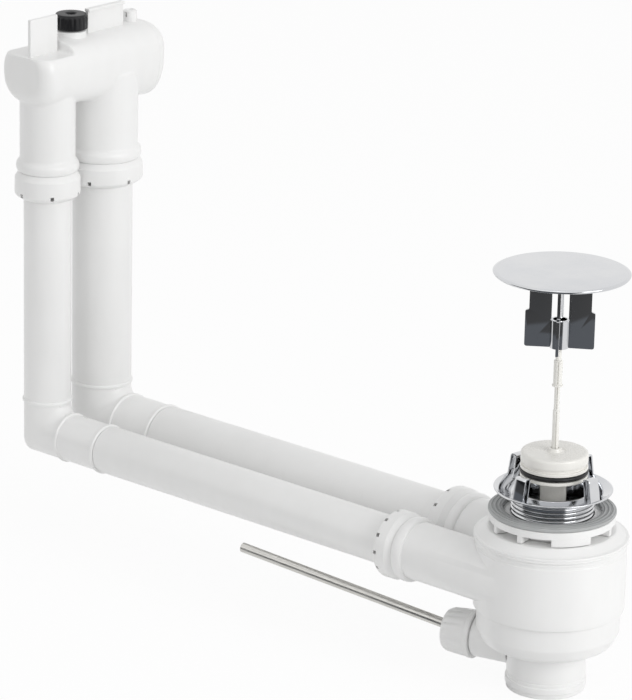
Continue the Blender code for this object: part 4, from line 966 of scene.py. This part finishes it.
@dataclass
class Body:
    """The white body: lid, casing with two stubs, lower bowl with its outlet and lever boss."""

    couplings: Sequence[Coupling]
    casing_radius: float = 38.5
    casing_top: float = -16.8
    casing_bottom: float = -52.9
    casing_bore: float = 35.5
    casing_step: float = -49.7
    lid_top: float = -10.5
    lid_bore: float = 19.3
    bowl_radius: float = 36.5
    bowl_floor: float = -73.7
    outlet_radius: float = 20.2
    outlet_end: float = -97.0
    lever_height: float = -77.3
    lever_yaw: float = 14.0

    def build(self, shop: Workshop) -> None:
        """Model and dress the body's pieces."""
        self.build_lid(shop)
        self.build_casing(shop)
        self.build_bowl(shop)
        shop.keep(Finish.WHITE, "flow_divider", "guide_spider")
        shop.keep(Finish.BLACK_RUBBER, "lid_seal", "bowl_seal")

    def build_lid(self, shop: Workshop) -> None:
        """Model the lid with its sloped shoulder and the groove round its rim."""
        rim, top, bore = self.casing_radius + 0.8, self.lid_top, self.lid_bore
        lid = Bench.turn([
            (bore, top), (32.6, top, 0.8), (33.4, top - 0.35, 0.5), (37.6, top - 3.3, 0.7), (rim, -14.1, 0.5),
            (rim, -15.0, 0.2), (rim - 0.3, -15.15, 0.1), (rim - 0.3, -15.5, 0.1), (rim, -15.65, 0.2),
            (rim, -16.5, 0.25), (35.2, -16.5), (35.2, -21.3), (31.0, -21.3), (31.0, -16.5), (30.5, -13.0),
            (bore, -13.0),
        ], 128)
        shop.dress(lid, "body_cap", Finish.WHITE, "body_lid")

    def build_casing(self, shop: Workshop) -> None:
        """Model the casing, let the two stubs into it and bore it out."""
        radius, top, low, wide = self.casing_radius, self.casing_top, self.casing_bottom, self.bowl_radius + 0.3
        casing = Bench.turn([
            (0.0, low), (radius - 0.1, low, 0.7), (radius, low + 3.0, 0.5), (radius, top - 3.4, 0.2),
            (radius - 0.35, top - 3.0, 0.15), (radius - 0.35, top - 1.8, 0.15), (radius, top - 1.4, 0.2),
            (radius, top, 0.3), (0.0, top),
        ], 128)
        for coupling in self.couplings:
            straight = coupling.run.shoulder - 6.0
            cone = [(0.0, -straight - 12.0), (coupling.socket_radius - 1.8, -straight - 12.0)]
            Bench.cut(casing, self.let_in(coupling, cone + coupling.socket(straight)[1:]), "UNION")
        Bench.cut(casing, Bench.turn([
            (0.0, low - 2.0), (wide, low - 2.0), (wide, self.casing_step), (self.casing_bore, self.casing_step),
            (self.casing_bore, top + 2.0), (0.0, top + 2.0),
        ], 128))
        for coupling in self.couplings:
            bore = [(0.0, -52.0), (coupling.bore, -52.0), (coupling.bore, 10.0), (0.0, 10.0)]
            Bench.cut(casing, self.let_in(coupling, bore))
        shop.dress(casing, "casing_shell", Finish.WHITE, "body_casing")

    @staticmethod
    def let_in(coupling: Coupling, points: Sequence[Point]) -> Piece:
        """Return an outline turned about the level axis of a run, from its shoulder outwards."""
        run = coupling.run
        return Bench.put(Bench.turn(points), (-run.shoulder, run.y, -run.depth), (-1, 0, 0))

    def build_bowl(self, shop: Workshop) -> None:
        """Model the bowl, its outlet with the rings at the end, and the boss for the lever."""
        radius, outlet, floor, end = self.bowl_radius, self.outlet_radius, self.bowl_floor, self.outlet_end
        bowl = Bench.turn([
            (0.0, -51.9), (radius, -51.9), (radius, floor + 9.0, 4.0), (radius - 3.2, floor + 2.8, 4.5),
            (radius - 7.5, floor + 0.4, 2.5), (outlet + 1.4, floor, 0.2), (outlet, floor - 1.4, 1.0),
            (outlet, -88.6, 0.1), (outlet - 0.25, -88.8, 0.1), (outlet - 0.25, -89.3, 0.1), (outlet, -89.5, 0.1),
            (outlet, -91.0, 0.3), (outlet + 0.6, -91.5, 0.4), (outlet + 0.6, -94.4, 0.4), (outlet, -94.9, 0.2),
            (outlet, end, 0.5), (0.0, end),
        ], 128, 5)
        yaw = math.radians(self.lever_yaw)
        aim, place = (-math.cos(yaw), -math.sin(yaw), 0.0), (0.0, 0.0, self.lever_height)
        boss = Bench.turn([
            (0.0, outlet - 2.0), (11.2, outlet - 2.0), (11.2, 38.3, 0.5), (10.7, 39.0), (9.9, 39.0), (9.9, 51.0),
            (0.0, 51.0),
        ])
        Bench.cut(bowl, Bench.put(boss, place, aim), "UNION")
        Bench.cut(bowl, Bench.turn([
            (0.0, -49.0), (34.3, -49.0), (34.3, -54.9), (33.0, -54.9), (33.0, floor + 8.5, 5.0),
            (29.0, floor + 2.4, 3.0), (outlet - 2.2, floor + 2.2), (outlet - 2.2, end - 2.0), (0.0, end - 2.0),
        ]))
        bore = Bench.turn([(0.0, 0.0), (7.5, 0.0), (7.5, 39.5), (8.3, 39.5), (8.3, 53.0), (0.0, 53.0)], 48)
        Bench.cut(bowl, Bench.put(bore, place, aim))
        shop.dress(bowl, "bowl_shell", Finish.WHITE, "lower_bowl")


@dataclass
class Lever:
    """The lever rod and the fluted nut that holds its ball in the boss."""

    height: float = -77.3
    yaw: float = 14.0
    tilt: float = 9.2
    ball_distance: float = 44.0
    rod_radius: float = 2.6
    outer: float = 134.0
    inner: float = 46.5
    nut_radius: float = 12.7
    nut_end_radius: float = 11.3
    nut_length: float = 16.5
    nut_start: float = 39.3
    flutes: int = 18

    def build(self, shop: Workshop) -> None:
        """Model and dress the lever's pieces."""
        yaw, tilt = math.radians(self.yaw), math.radians(self.tilt)
        up = Vector((0.0, 0.0, 1.0))
        level = Vector((-math.cos(yaw), -math.sin(yaw), 0.0))
        radius, low, high = self.rod_radius, -self.inner, self.outer
        rod = Bench.turn([
            (0.0, low), (radius, low, 0.8), (radius, high - 0.4, 0.4), (radius - 0.5, high, 0.3), (0.0, high)
        ], 40)
        aim = level * math.cos(tilt) + up * math.sin(tilt)
        Bench.put(rod, level * self.ball_distance + up * self.height, aim)
        shop.dress(rod, "lever_bar", Finish.STEEL, "lever_rod")
        nut = Bench.put(self.nut(), level * self.nut_start + up * self.height, level)
        shop.dress(nut, "lever_cap_nut", Finish.WHITE, "lever_nut", 38.0)
        shop.keep(Finish.WHITE, "lever_ball", "ball_gland")
        shop.keep(Finish.BLACK_RUBBER, "ball_seat")

    def nut(self) -> Piece:
        """Return the nut on +Z with its flutes, its wide end at height 0."""
        sides, length, wide, end = 8 * self.flutes, self.nut_length, self.nut_radius, self.nut_end_radius
        nut = Bench.turn([
            (10.2, 0.0), (wide, 0.0, 0.4), (wide, 2.2, 0.5), (wide - 0.5, 2.7, 0.2), (wide - 0.35, 3.3, 0.3),
            (end + 0.25, length - 2.6, 1.2), (end - 1.1, length - 0.2, 0.8), (9.2, length, 0.3),
            (9.2, length - 2.2), (6.2, length - 2.2), (6.2, length - 4.4), (10.2, length - 4.4),
        ], sides, 4)
        Bench.flute(nut, self.flutes, 0.75, (10.9, 3.5), (13.0, length - 0.9), sides)
        return nut


@dataclass
class Pipes:
    """One pipe run with its ribbed elbow, and its nut on the body."""

    coupling: Coupling
    wall: float = 1.8
    elbow_wall: float = 1.5
    riser_x: float = -333.0
    sleeve: float = 29.5
    rib: float = 0.8
    corner: float = 4.6
    level_start: float = 50.0
    riser_top: float = 133.0
    nut_length: float = 12.3
    notches: int = 12

    def build(self, shop: Workshop) -> None:
        """Model and dress the run's pieces."""
        run = self.coupling.run
        shoulder, level, corner = ((x, 0.0, -run.depth) for x in (-run.shoulder, 0.0, self.riser_x))
        nut = self.coupling.nut(self.nut_length, self.notches, run.level_turn)
        level_tube = self.tube(self.level_start, -self.riser_x - run.bend - self.sleeve - 0.3)
        riser_tube = self.tube(run.bend + 1.3, self.riser_top + run.depth)
        for piece, title, finish, node in (
            (Bench.put(nut, shoulder, (-1, 0, 0)), "union_nut", Finish.WHITE, "body_nut"),
            (Bench.put(level_tube, level, (-1, 0, 0)), "level_tube", Finish.WHITE, "level_pipe"),
            (Bench.put(riser_tube, corner), "riser_tube", Finish.WHITE, "riser_pipe"),
            (self.elbow(), "elbow_bend", Finish.WHITE, "elbow"),
            (Bench.put(self.coupling.seal(), shoulder, (-1, 0, 0)), "body_ring", Finish.BLACK_RUBBER, "body_pipe_seal"),
        ):
            Bench.put(piece, (0.0, run.y, 0.0))
            shop.dress(piece, f"{title}_{run.name}", finish, f"{node}_{run.name}")

    def tube(self, start: float, end: float) -> Piece:
        """Return a straight pipe on +Z with eased ends, from its start to its end."""
        radius, bore = self.coupling.run.radius, self.coupling.run.radius - self.wall
        points = [(bore, start, 0.2), (radius, start, 0.3), (radius, end, 0.3), (bore, end, 0.2), (bore, start + 1.0)]
        return Bench.turn(points, ROUND, 2)

    def elbow(self) -> Piece:
        """Return an elbow: two ribbed sleeves that meet at a mitre with a small rounding, made a shell."""
        middle = Vector((self.riser_x, 0.0, -self.coupling.run.depth))
        piece = self.arm(middle, Vector((0.0, 0.0, 1.0)), 1)
        Bench.join(piece, [self.arm(middle, Vector((1.0, 0.0, 0.0)), 2)])
        Bench.edit()
        bpy.ops.mesh.remove_doubles(threshold=0.01 * MM)
        Bench.choose(piece, lambda spot: abs((spot.x - middle.x) - (spot.z - middle.z)) < 0.01)
        bpy.ops.mesh.bevel(offset=self.corner * MM, segments=7, affect="EDGES")
        Bench.tidy()
        Bench.modify(piece, "SOLIDIFY", thickness=self.elbow_wall * MM, offset=-1.0)
        return piece

    def arm(self, middle: Vector, aim: Vector, ribs: int) -> Piece:
        """Return one sleeve of the elbow, cut on the mitre plane through the middle.

        Args:
            middle: Where the two axes meet.
            aim: The direction in which the sleeve runs away from there.
            ribs: How many ribs it has; it ends with the last.

        Returns:
            The sleeve.
        """
        pipe, rib = self.coupling.run.radius, self.rib
        ridge = [(rib * 0.55, 0.35), (rib * 0.9, 0.3), (rib, 0.35), (rib, 0.4), (rib * 0.9, 0.35), (rib * 0.45, 0.3)]
        ridge.append((0.0, 0.3))
        straight = (0.0, self.sleeve - 2 * sum(step for _, step in ridge))
        past = pipe + 2.0
        steps = [(0.0, past + self.coupling.run.bend), *ridge, *([straight, *ridge] * (ribs - 1)), (-0.9, 0.0)]
        centre, radius = middle - aim * past, pipe
        Bench.clear()
        bpy.ops.mesh.primitive_circle_add(vertices=ROUND, radius=pipe * MM, fill_type="NOTHING")
        piece = Bench.put(bpy.context.object, centre, aim)
        Bench.edit()
        for height, step in steps:
            Bench.extrude(aim * step)
            centre, share, radius = centre + aim * step, (pipe + height) / radius, pipe + height
            Bench.stretch((share, share, share), centre)
        bpy.ops.mesh.select_all(action="SELECT")
        sides = {"clear_outer": aim.z > 0.0, "clear_inner": aim.z == 0.0}
        bpy.ops.mesh.bisect(plane_co=middle * MM, plane_no=(1, 0, -1), threshold=NEAR_ZERO * MM, **sides)
        bpy.ops.object.mode_set(mode="OBJECT")
        return piece


@dataclass
class Head:
    """The overflow head: its casing with two sockets and two upright plates, and what sits on it."""

    couplings: Sequence[Coupling]
    x: float = -333.0
    axis: float = 170.9
    half_width: float = 18.5
    rise: float = 15.1
    drop: float = 22.3
    fall: float = 0.10
    near_end: float = -43.0
    far_end: float = 52.8
    rounding: float = 7.5
    far_rounding: float = 8.5
    seam: float = 44.0
    ledge_top: float = 179.8
    ledge_rim: float = 2.2
    ledge_end: float = -19.0
    shoulder: float = 113.8
    bore_top: float = 150.0
    voxel: float = 0.68
    smoothings: int = 4
    notches: int = 6
    plate_x: float = -330.0
    plate_thickness: float = 2.1
    knob_y: float = -6.2
    knob_bottom: float = 189.5
    knob_radius: float = 9.0
    knob_height: float = 8.2
    knurls: int = 20
    stud_y: float = 39.7
    stud_slot: float = -79.0

    def build(self, shop: Workshop) -> None:
        """Model and dress the head's pieces."""
        self.build_casing(shop)
        rings = [(self.seam + 0.1, 0.1)]
        rings += [(self.far_end - self.far_rounding * y, self.far_rounding * inset) for inset, y in self.quarter(10)]
        shop.dress(self.pod(rings), "head_cap", Finish.WHITE, "head_end_cap", 40.0)
        self.build_knob(shop)
        self.build_bush_and_stud(shop)
        for coupling in self.couplings:
            run = coupling.run
            nut = coupling.nut(run.nut_length, self.notches, run.upright_turn)
            self.close(shop, coupling, nut, "head_union_nut", Finish.WHITE, "head_nut")
            self.close(shop, coupling, coupling.seal(), "head_ring", Finish.BLACK_RUBBER, "head_pipe_seal")
        shop.keep(Finish.WHITE, "weir_plate")

    def close(self, shop: Workshop, coupling: Coupling, piece: Piece, title: str, finish: Finish, node: str) -> None:
        """Put a piece made on +Z under a socket and dress it."""
        Bench.put(piece, (self.x, coupling.run.y, self.shoulder), (0, 0, -1))
        shop.dress(piece, f"{title}_{coupling.run.name}", finish, f"{node}_{coupling.run.name}")

    @staticmethod
    def quarter(steps: int) -> list[Point]:
        """Return a quarter turn as (1 - cosine, 1 - sine) pairs."""
        angles = [math.pi / 2 * step / steps for step in range(steps + 1)]
        return [(1 - math.cos(angle), 1 - math.sin(angle)) for angle in angles]

    def section(self) -> list[Point]:
        """Return the head's section at y = 0: an arched top and a fuller bottom, as (x, z) points."""
        points = []
        for angle in (math.tau * step / ROUND for step in range(ROUND)):
            across, up = math.cos(angle), math.sin(angle)
            height, power = (self.rise, 0.85) if up > 0.0 else (self.drop, 0.78)
            points.append((
                self.x + self.half_width * math.copysign(abs(across) ** power, across),
                self.axis + height * math.copysign(abs(up) ** power, up),
            ))
        return points

    def pod(self, rings: Sequence[Point]) -> Piece:
        """Extrude the head's section along Y, drawn in at the ends and deeper towards the far one.

        Args:
            rings: The rings as (y, how far each is drawn in).

        Returns:
            The closed piece.
        """
        piece = Bench.draw(self.section(), True)
        bpy.ops.mesh.edge_face_add()
        last_y, last_inset = 0.0, 0.0
        for number, (y, inset) in enumerate(rings):
            if number:
                Bench.extrude((0.0, y - last_y, 0.0))
            else:
                bpy.ops.transform.translate(value=(0.0, y * MM, 0.0))
            wide = (self.half_width - inset) / (self.half_width - last_inset)
            high = (self.drop - 1.3 * inset) / (self.drop - 1.3 * last_inset)
            Bench.stretch((wide, 1.0, high), (self.x, y, self.axis))
            last_y, last_inset = y, inset
        for y, _ in rings:
            def is_low(spot: Vector, y: float = y) -> bool:
                """Say whether a point is in the lower half of this ring."""
                return abs(spot.y - y) < NEAR_ZERO and spot.z < self.axis - NEAR_ZERO

            Bench.choose(piece, is_low)
            Bench.stretch((1.0, 1.0, 1.0 + self.fall * y / self.drop), (self.x, y, self.axis))
        Bench.tidy()
        return piece

    def build_casing(self, shop: Workshop) -> None:
        """Model the casing: a pod with its ledge and sockets, softened, and the two plates on it."""
        rings = [(self.near_end + self.rounding * y, self.rounding * inset) for y, inset in self.quarter(8)]
        casing = self.pod([*rings, (0.0, 0.0), (self.seam + 3.0, 0.0)])
        for end in (self.ledge_end - 3.5, self.ledge_end):
            ledge = (self.x - 30, self.near_end - 5, self.ledge_top), (self.x + 30, end, self.axis + 30)
            Bench.cut(casing, Bench.block(*ledge))
            if end < self.ledge_end:
                Bench.bevel(casing, self.ledge_rim, 4, 55.0)
        for coupling in self.couplings:
            socket = Bench.turn(coupling.socket(self.axis - 8.0 - self.shoulder))
            Bench.cut(casing, Bench.put(socket, (self.x, coupling.run.y, self.shoulder), (0, 0, -1)), "UNION")
        low, high = self.shoulder - 12.0, self.bore_top
        for coupling in self.couplings:
            bore = Bench.turn([(0.0, low), (coupling.bore, low), (coupling.bore, high), (0.0, high)])
            Bench.cut(casing, Bench.put(bore, (self.x, coupling.run.y, 0.0)))
        Bench.soften(casing, self.voxel, self.smoothings)
        Bench.edit()
        bpy.ops.mesh.bisect(plane_co=(0.0, self.seam * MM, 0.0), plane_no=(0, 1, 0), use_fill=True, clear_outer=True)
        bpy.ops.object.mode_set(mode="OBJECT")
        near = self.plate((-41.0, self.ledge_top - 3.5), (-20.5, 200.0), 0.0, 0.35)
        far = self.plate((2.8, self.axis + self.rise - 2.0), (30.3, 199.0), 0.0, 0.35)
        lip = self.plate((2.2, 197.6), (30.3, 199.3), 1.4, 0.3)
        Bench.join(casing, [near, far, lip])
        shop.dress(casing, "head_shell", Finish.WHITE, "head_casing", 35.0)

    def plate(self, low: Point, high: Point, extra: float, edge: float) -> Piece:
        """Return an upright plate with eased edges.

        Args:
            low: Its lower near corner as (y, z).
            high: Its upper far corner as (y, z).
            extra: How much thicker it is on the +X side.
            edge: The rounding of its edges.

        Returns:
            The plate.
        """
        half = self.plate_thickness / 2
        piece = Bench.block((self.plate_x - half, *low), (self.plate_x + half + extra, *high))
        Bench.bevel(piece, edge, 3)
        return piece

    def build_knob(self, shop: Workshop) -> None:
        """Model the knurled knob with the socket in its top and the screw under it."""
        radius, height, sides = self.knob_radius, self.knob_height, 8 * self.knurls
        knob = Bench.turn([
            (0.0, -9.8), (3.0, -9.8, 0.4), (3.0, 0.0), (radius, 0.0, 0.6), (radius, height - 1.4, 0.3),
            (radius - 0.5, height - 0.9, 0.3), (radius - 0.9, height, 0.5), (3.4, height, 0.3),
            (2.5, height - 0.7, 0.2), (2.5, height - 5.0), (0.0, height - 5.0),
        ], sides)
        Bench.flute(knob, self.knurls, 0.55, (radius - 0.3, 0.7), (radius + 0.2, height - 1.1), sides)
        Bench.put(knob, (self.x, self.knob_y, self.knob_bottom))
        shop.dress(knob, "knurled_knob", Finish.BLACK_PLASTIC, "knob", 45.0)

    def build_bush_and_stud(self, shop: Workshop) -> None:
        """Model the bush under the knob and the stud beside the far plate."""
        crown, end = self.axis + self.rise, self.knob_bottom - 0.5
        bush = Bench.turn([(4.3, 178.0), (8.3, 178.0), (8.3, end - 0.4, 0.6), (7.2, end, 0.3), (4.3, end)], 64)
        shop.dress(Bench.put(bush, (self.x, self.knob_y, 0.0)), "screw_bush", Finish.WHITE, "knob_bush")
        top = crown + 6.4
        stud = Bench.turn([
            (0.0, crown - 5.0), (3.9, crown - 5.0), (3.9, top - 0.8, 0.4), (3.1, top - 0.3, 0.4), (1.9, top, 0.3),
            (1.5, top - 0.8, 0.2), (0.0, top - 0.8),
        ], 48)
        slot = Bench.block((2.4, -0.55, top - 3.9), (5.0, 0.55, top - 1.1))
        Bench.cut(stud, Bench.put(slot, spin=self.stud_slot))
        shop.dress(Bench.put(stud, (self.x, self.stud_y, 0.0)), "vent_plug", Finish.WHITE, "vent_stud")


@dataclass(frozen=True)
class Lamp:
    """A soft lamp, placed by the camera's own sides."""

    name: str
    across: float
    towards: float
    up: float
    size: float
    power: float


@dataclass
class Studio:
    """The camera at the photograph's angle, a pale floor, soft lamps and a white surround."""

    azimuth: float = 40.78
    elevation: float = 18.16
    roll: float = 1.25
    focal_pixels: float = 4090.8
    distance: float = 2057.97
    across: float = -118.96
    above: float = 78.61
    frame_size: tuple[int, int] = (632, 700)
    sensor: float = 36.0
    floor_height: float = -97.3
    floor_colour: Colour = (0.93, 0.93, 0.93)
    floor_glow: float = 0.93
    # Painted dark reflection: its turn and its colours, seen only by mirrored rays on the floor and low in the world.
    reflection_dark_turn: float = -30.0
    reflection_dark_near: Colour = (0.075, 0.085, 0.1)
    reflection_dark_far: Colour = (0.012, 0.013, 0.015)
    world_light: float = 0.63
    lamp_target: Colour = (-0.15, 0.0, 0.04)
    lamps: tuple[Lamp, ...] = (
        Lamp("key", 1.5, 1.25, 0.75, 1.1, 16.0),
        Lamp("fill", -1.2, 1.3, 0.7, 1.1, 1.5),
        Lamp("top", 0.1, 0.1, 1.7, 1.0, 3.0),
    )

    def build(self) -> None:
        """Set up the camera, the floor, the lamps and the world."""
        self.build_camera()
        self.build_floor()
        for lamp in self.lamps:
            self.build_lamp(lamp)
        self.build_world()
        bpy.context.scene.view_settings.view_transform = "Standard"
        LOG.info("studio: camera, floor, world and %d lamps", len(self.lamps))

    def axes(self) -> tuple[Vector, Vector, Vector]:
        """Return the camera's right, up and forward directions."""
        turn, rise, roll = (math.radians(angle) for angle in (self.azimuth, self.elevation, self.roll))
        forward = -Vector((math.sin(turn) * math.cos(rise), -math.cos(turn) * math.cos(rise), math.sin(rise)))
        right = Vector((math.cos(turn), math.sin(turn), 0.0))
        up = right.cross(forward)
        return right * math.cos(roll) + up * math.sin(roll), up * math.cos(roll) - right * math.sin(roll), forward

    def build_camera(self) -> None:
        """Place the camera as it stood for the photograph."""
        right, up, forward = self.axes()
        data = bpy.data.cameras.new("viewpoint")
        camera = bpy.data.objects.new("viewpoint", data)
        bpy.context.scene.collection.objects.link(camera)
        data.sensor_width = self.sensor
        data.lens = self.focal_pixels * self.sensor / max(self.frame_size)
        data.clip_start, data.clip_end = 0.1, 50.0
        place = (right * self.across + up * self.above - forward * self.distance) * MM
        turned = Matrix((right, up, -forward)).transposed().to_4x4()
        camera.matrix_world = Matrix.Translation(place) @ turned
        bpy.context.scene.camera = camera

    def build_floor(self) -> None:
        """Lay a pale floor that looks white to the camera and keeps the soft shadow, and that shows mirrored rays a
        painted dark reflection on one side.
        """
        Bench.clear()
        bpy.ops.mesh.primitive_plane_add(size=14.0, location=(0.0, 0.0, self.floor_height * MM))
        floor = bpy.context.object
        floor.name = "studio_floor"
        material = bpy.data.materials.new("floor_paint")
        material.use_nodes = True
        graph = Graph(material.node_tree)
        paint = graph.add("BsdfDiffuse", None, {"Color": self.floor_colour})
        camera, glossy, clear = self.rays(graph)
        # Painted reflection: mirrored rays see this white floor dark on one side, darker further out.
        dark = graph.blend(graph.radius().between(545.0, 650.0), self.reflection_dark_near, self.reflection_dark_far)
        side = self.painted_reflection_side(graph, graph.add("TexCoord", output="Object"))
        shade = graph.blend(glossy, PURE_WHITE, graph.blend(side, PURE_WHITE, dark))
        glow = graph.add("Emission", None, {"Color": shade, "Strength": 1.0})
        mixed = graph.add("MixShader", None, {0: (camera + glossy + clear) * self.floor_glow, 1: paint, 2: glow})
        graph.add("OutputMaterial", None, {"Surface": mixed})
        floor.data.materials.append(material)

    @staticmethod
    def rays(graph: Graph) -> list[Signal]:
        """Return 1 for a ray from the camera, for a mirrored one and for one that comes through a piece."""
        return [graph.add("LightPath", output=f"Is {kind} Ray") for kind in ("Camera", "Glossy", "Transmission")]

    def build_lamp(self, lamp: Lamp) -> None:
        """Hang one soft lamp and aim it at the waste."""
        turn = math.radians(self.azimuth)
        right = Vector((math.cos(turn), math.sin(turn), 0.0))
        towards = Vector((math.sin(turn), -math.cos(turn), 0.0))
        centre = Vector(self.lamp_target)
        data = bpy.data.lights.new(lamp.name, "AREA")
        data.shape = "SQUARE"
        data.size = lamp.size
        data.energy = lamp.power
        piece = bpy.data.objects.new(lamp.name, data)
        bpy.context.scene.collection.objects.link(piece)
        piece.location = centre + right * lamp.across + towards * lamp.towards + Vector((0.0, 0.0, lamp.up))
        piece.rotation_mode = "QUATERNION"
        piece.rotation_quaternion = (centre - piece.location).to_track_quat("-Z", "Y")

    def painted_reflection_side(self, graph: Graph, spot: Signal) -> Signal:
        """Return 1 on the side where floor and world are painted dark for mirrored rays only, a painted dark reflection
        in bright metal, and 0 elsewhere.
        """
        turn = math.radians(self.azimuth - 90.0 + self.reflection_dark_turn)
        level = graph.add("VectorMath", {"operation": "MULTIPLY"}, {0: spot, 1: (1.0, 1.0, 0.0)})
        towards = graph.add("VectorMath", {"operation": "NORMALIZE"}, {0: level})
        aim = (math.cos(turn), math.sin(turn), 0.0)
        return graph.add("VectorMath", {"operation": "DOT_PRODUCT"}, {0: towards, 1: aim}, 1).between(0.38, 0.54)

    def build_world(self) -> None:
        """Give the world a soft level light, white to the camera, with a painted dark reflection low on one side for
        what mirrors it.
        """
        world = bpy.context.scene.world or bpy.data.worlds.new("studio_world")
        bpy.context.scene.world = world
        world.use_nodes = True
        graph = Graph(world.node_tree)
        camera, glossy, clear = self.rays(graph)
        spot = graph.add("TexCoord", output="Generated")
        height = graph.add("SeparateXYZ", None, {0: spot}, 2)
        # Painted reflection: mirrored rays see a dark band low on one side of the white world.
        low = self.painted_reflection_side(graph, spot) * (1.0 - height.between(0.12, 0.30))
        soft = graph.add("Background", None, {"Color": PURE_WHITE, "Strength": self.world_light})
        white = graph.add("Background", None, {"Color": PURE_WHITE, "Strength": 1.0})
        shade = graph.blend(low, PURE_WHITE, self.reflection_dark_far)
        mirrored = graph.add("Background", None, {"Color": shade, "Strength": 1.0})
        lit = graph.add("MixShader", None, {0: glossy, 1: soft, 2: mirrored})
        graph.add("OutputWorld", None, {"Surface": graph.add("MixShader", None, {0: camera + clear, 1: lit, 2: white})})


def main() -> None:
    """Build the waste and its studio, and log each piece's faces and how many pieces were dressed."""
    logging.basicConfig(level=logging.INFO, format="%(name)s: %(message)s")
    shop = Workshop()
    couplings = [Coupling(run) for run in RUNS]
    pipes = [Pipes(coupling) for coupling in couplings]
    for part in (Cover(), Plunger(), Strainer(), Body(couplings), Lever(), *pipes, Head(couplings)):
        part.build(shop)
    Studio().build()
    LOG.info("%d pieces dressed", shop.made)


if __name__ == "__main__":
    main()
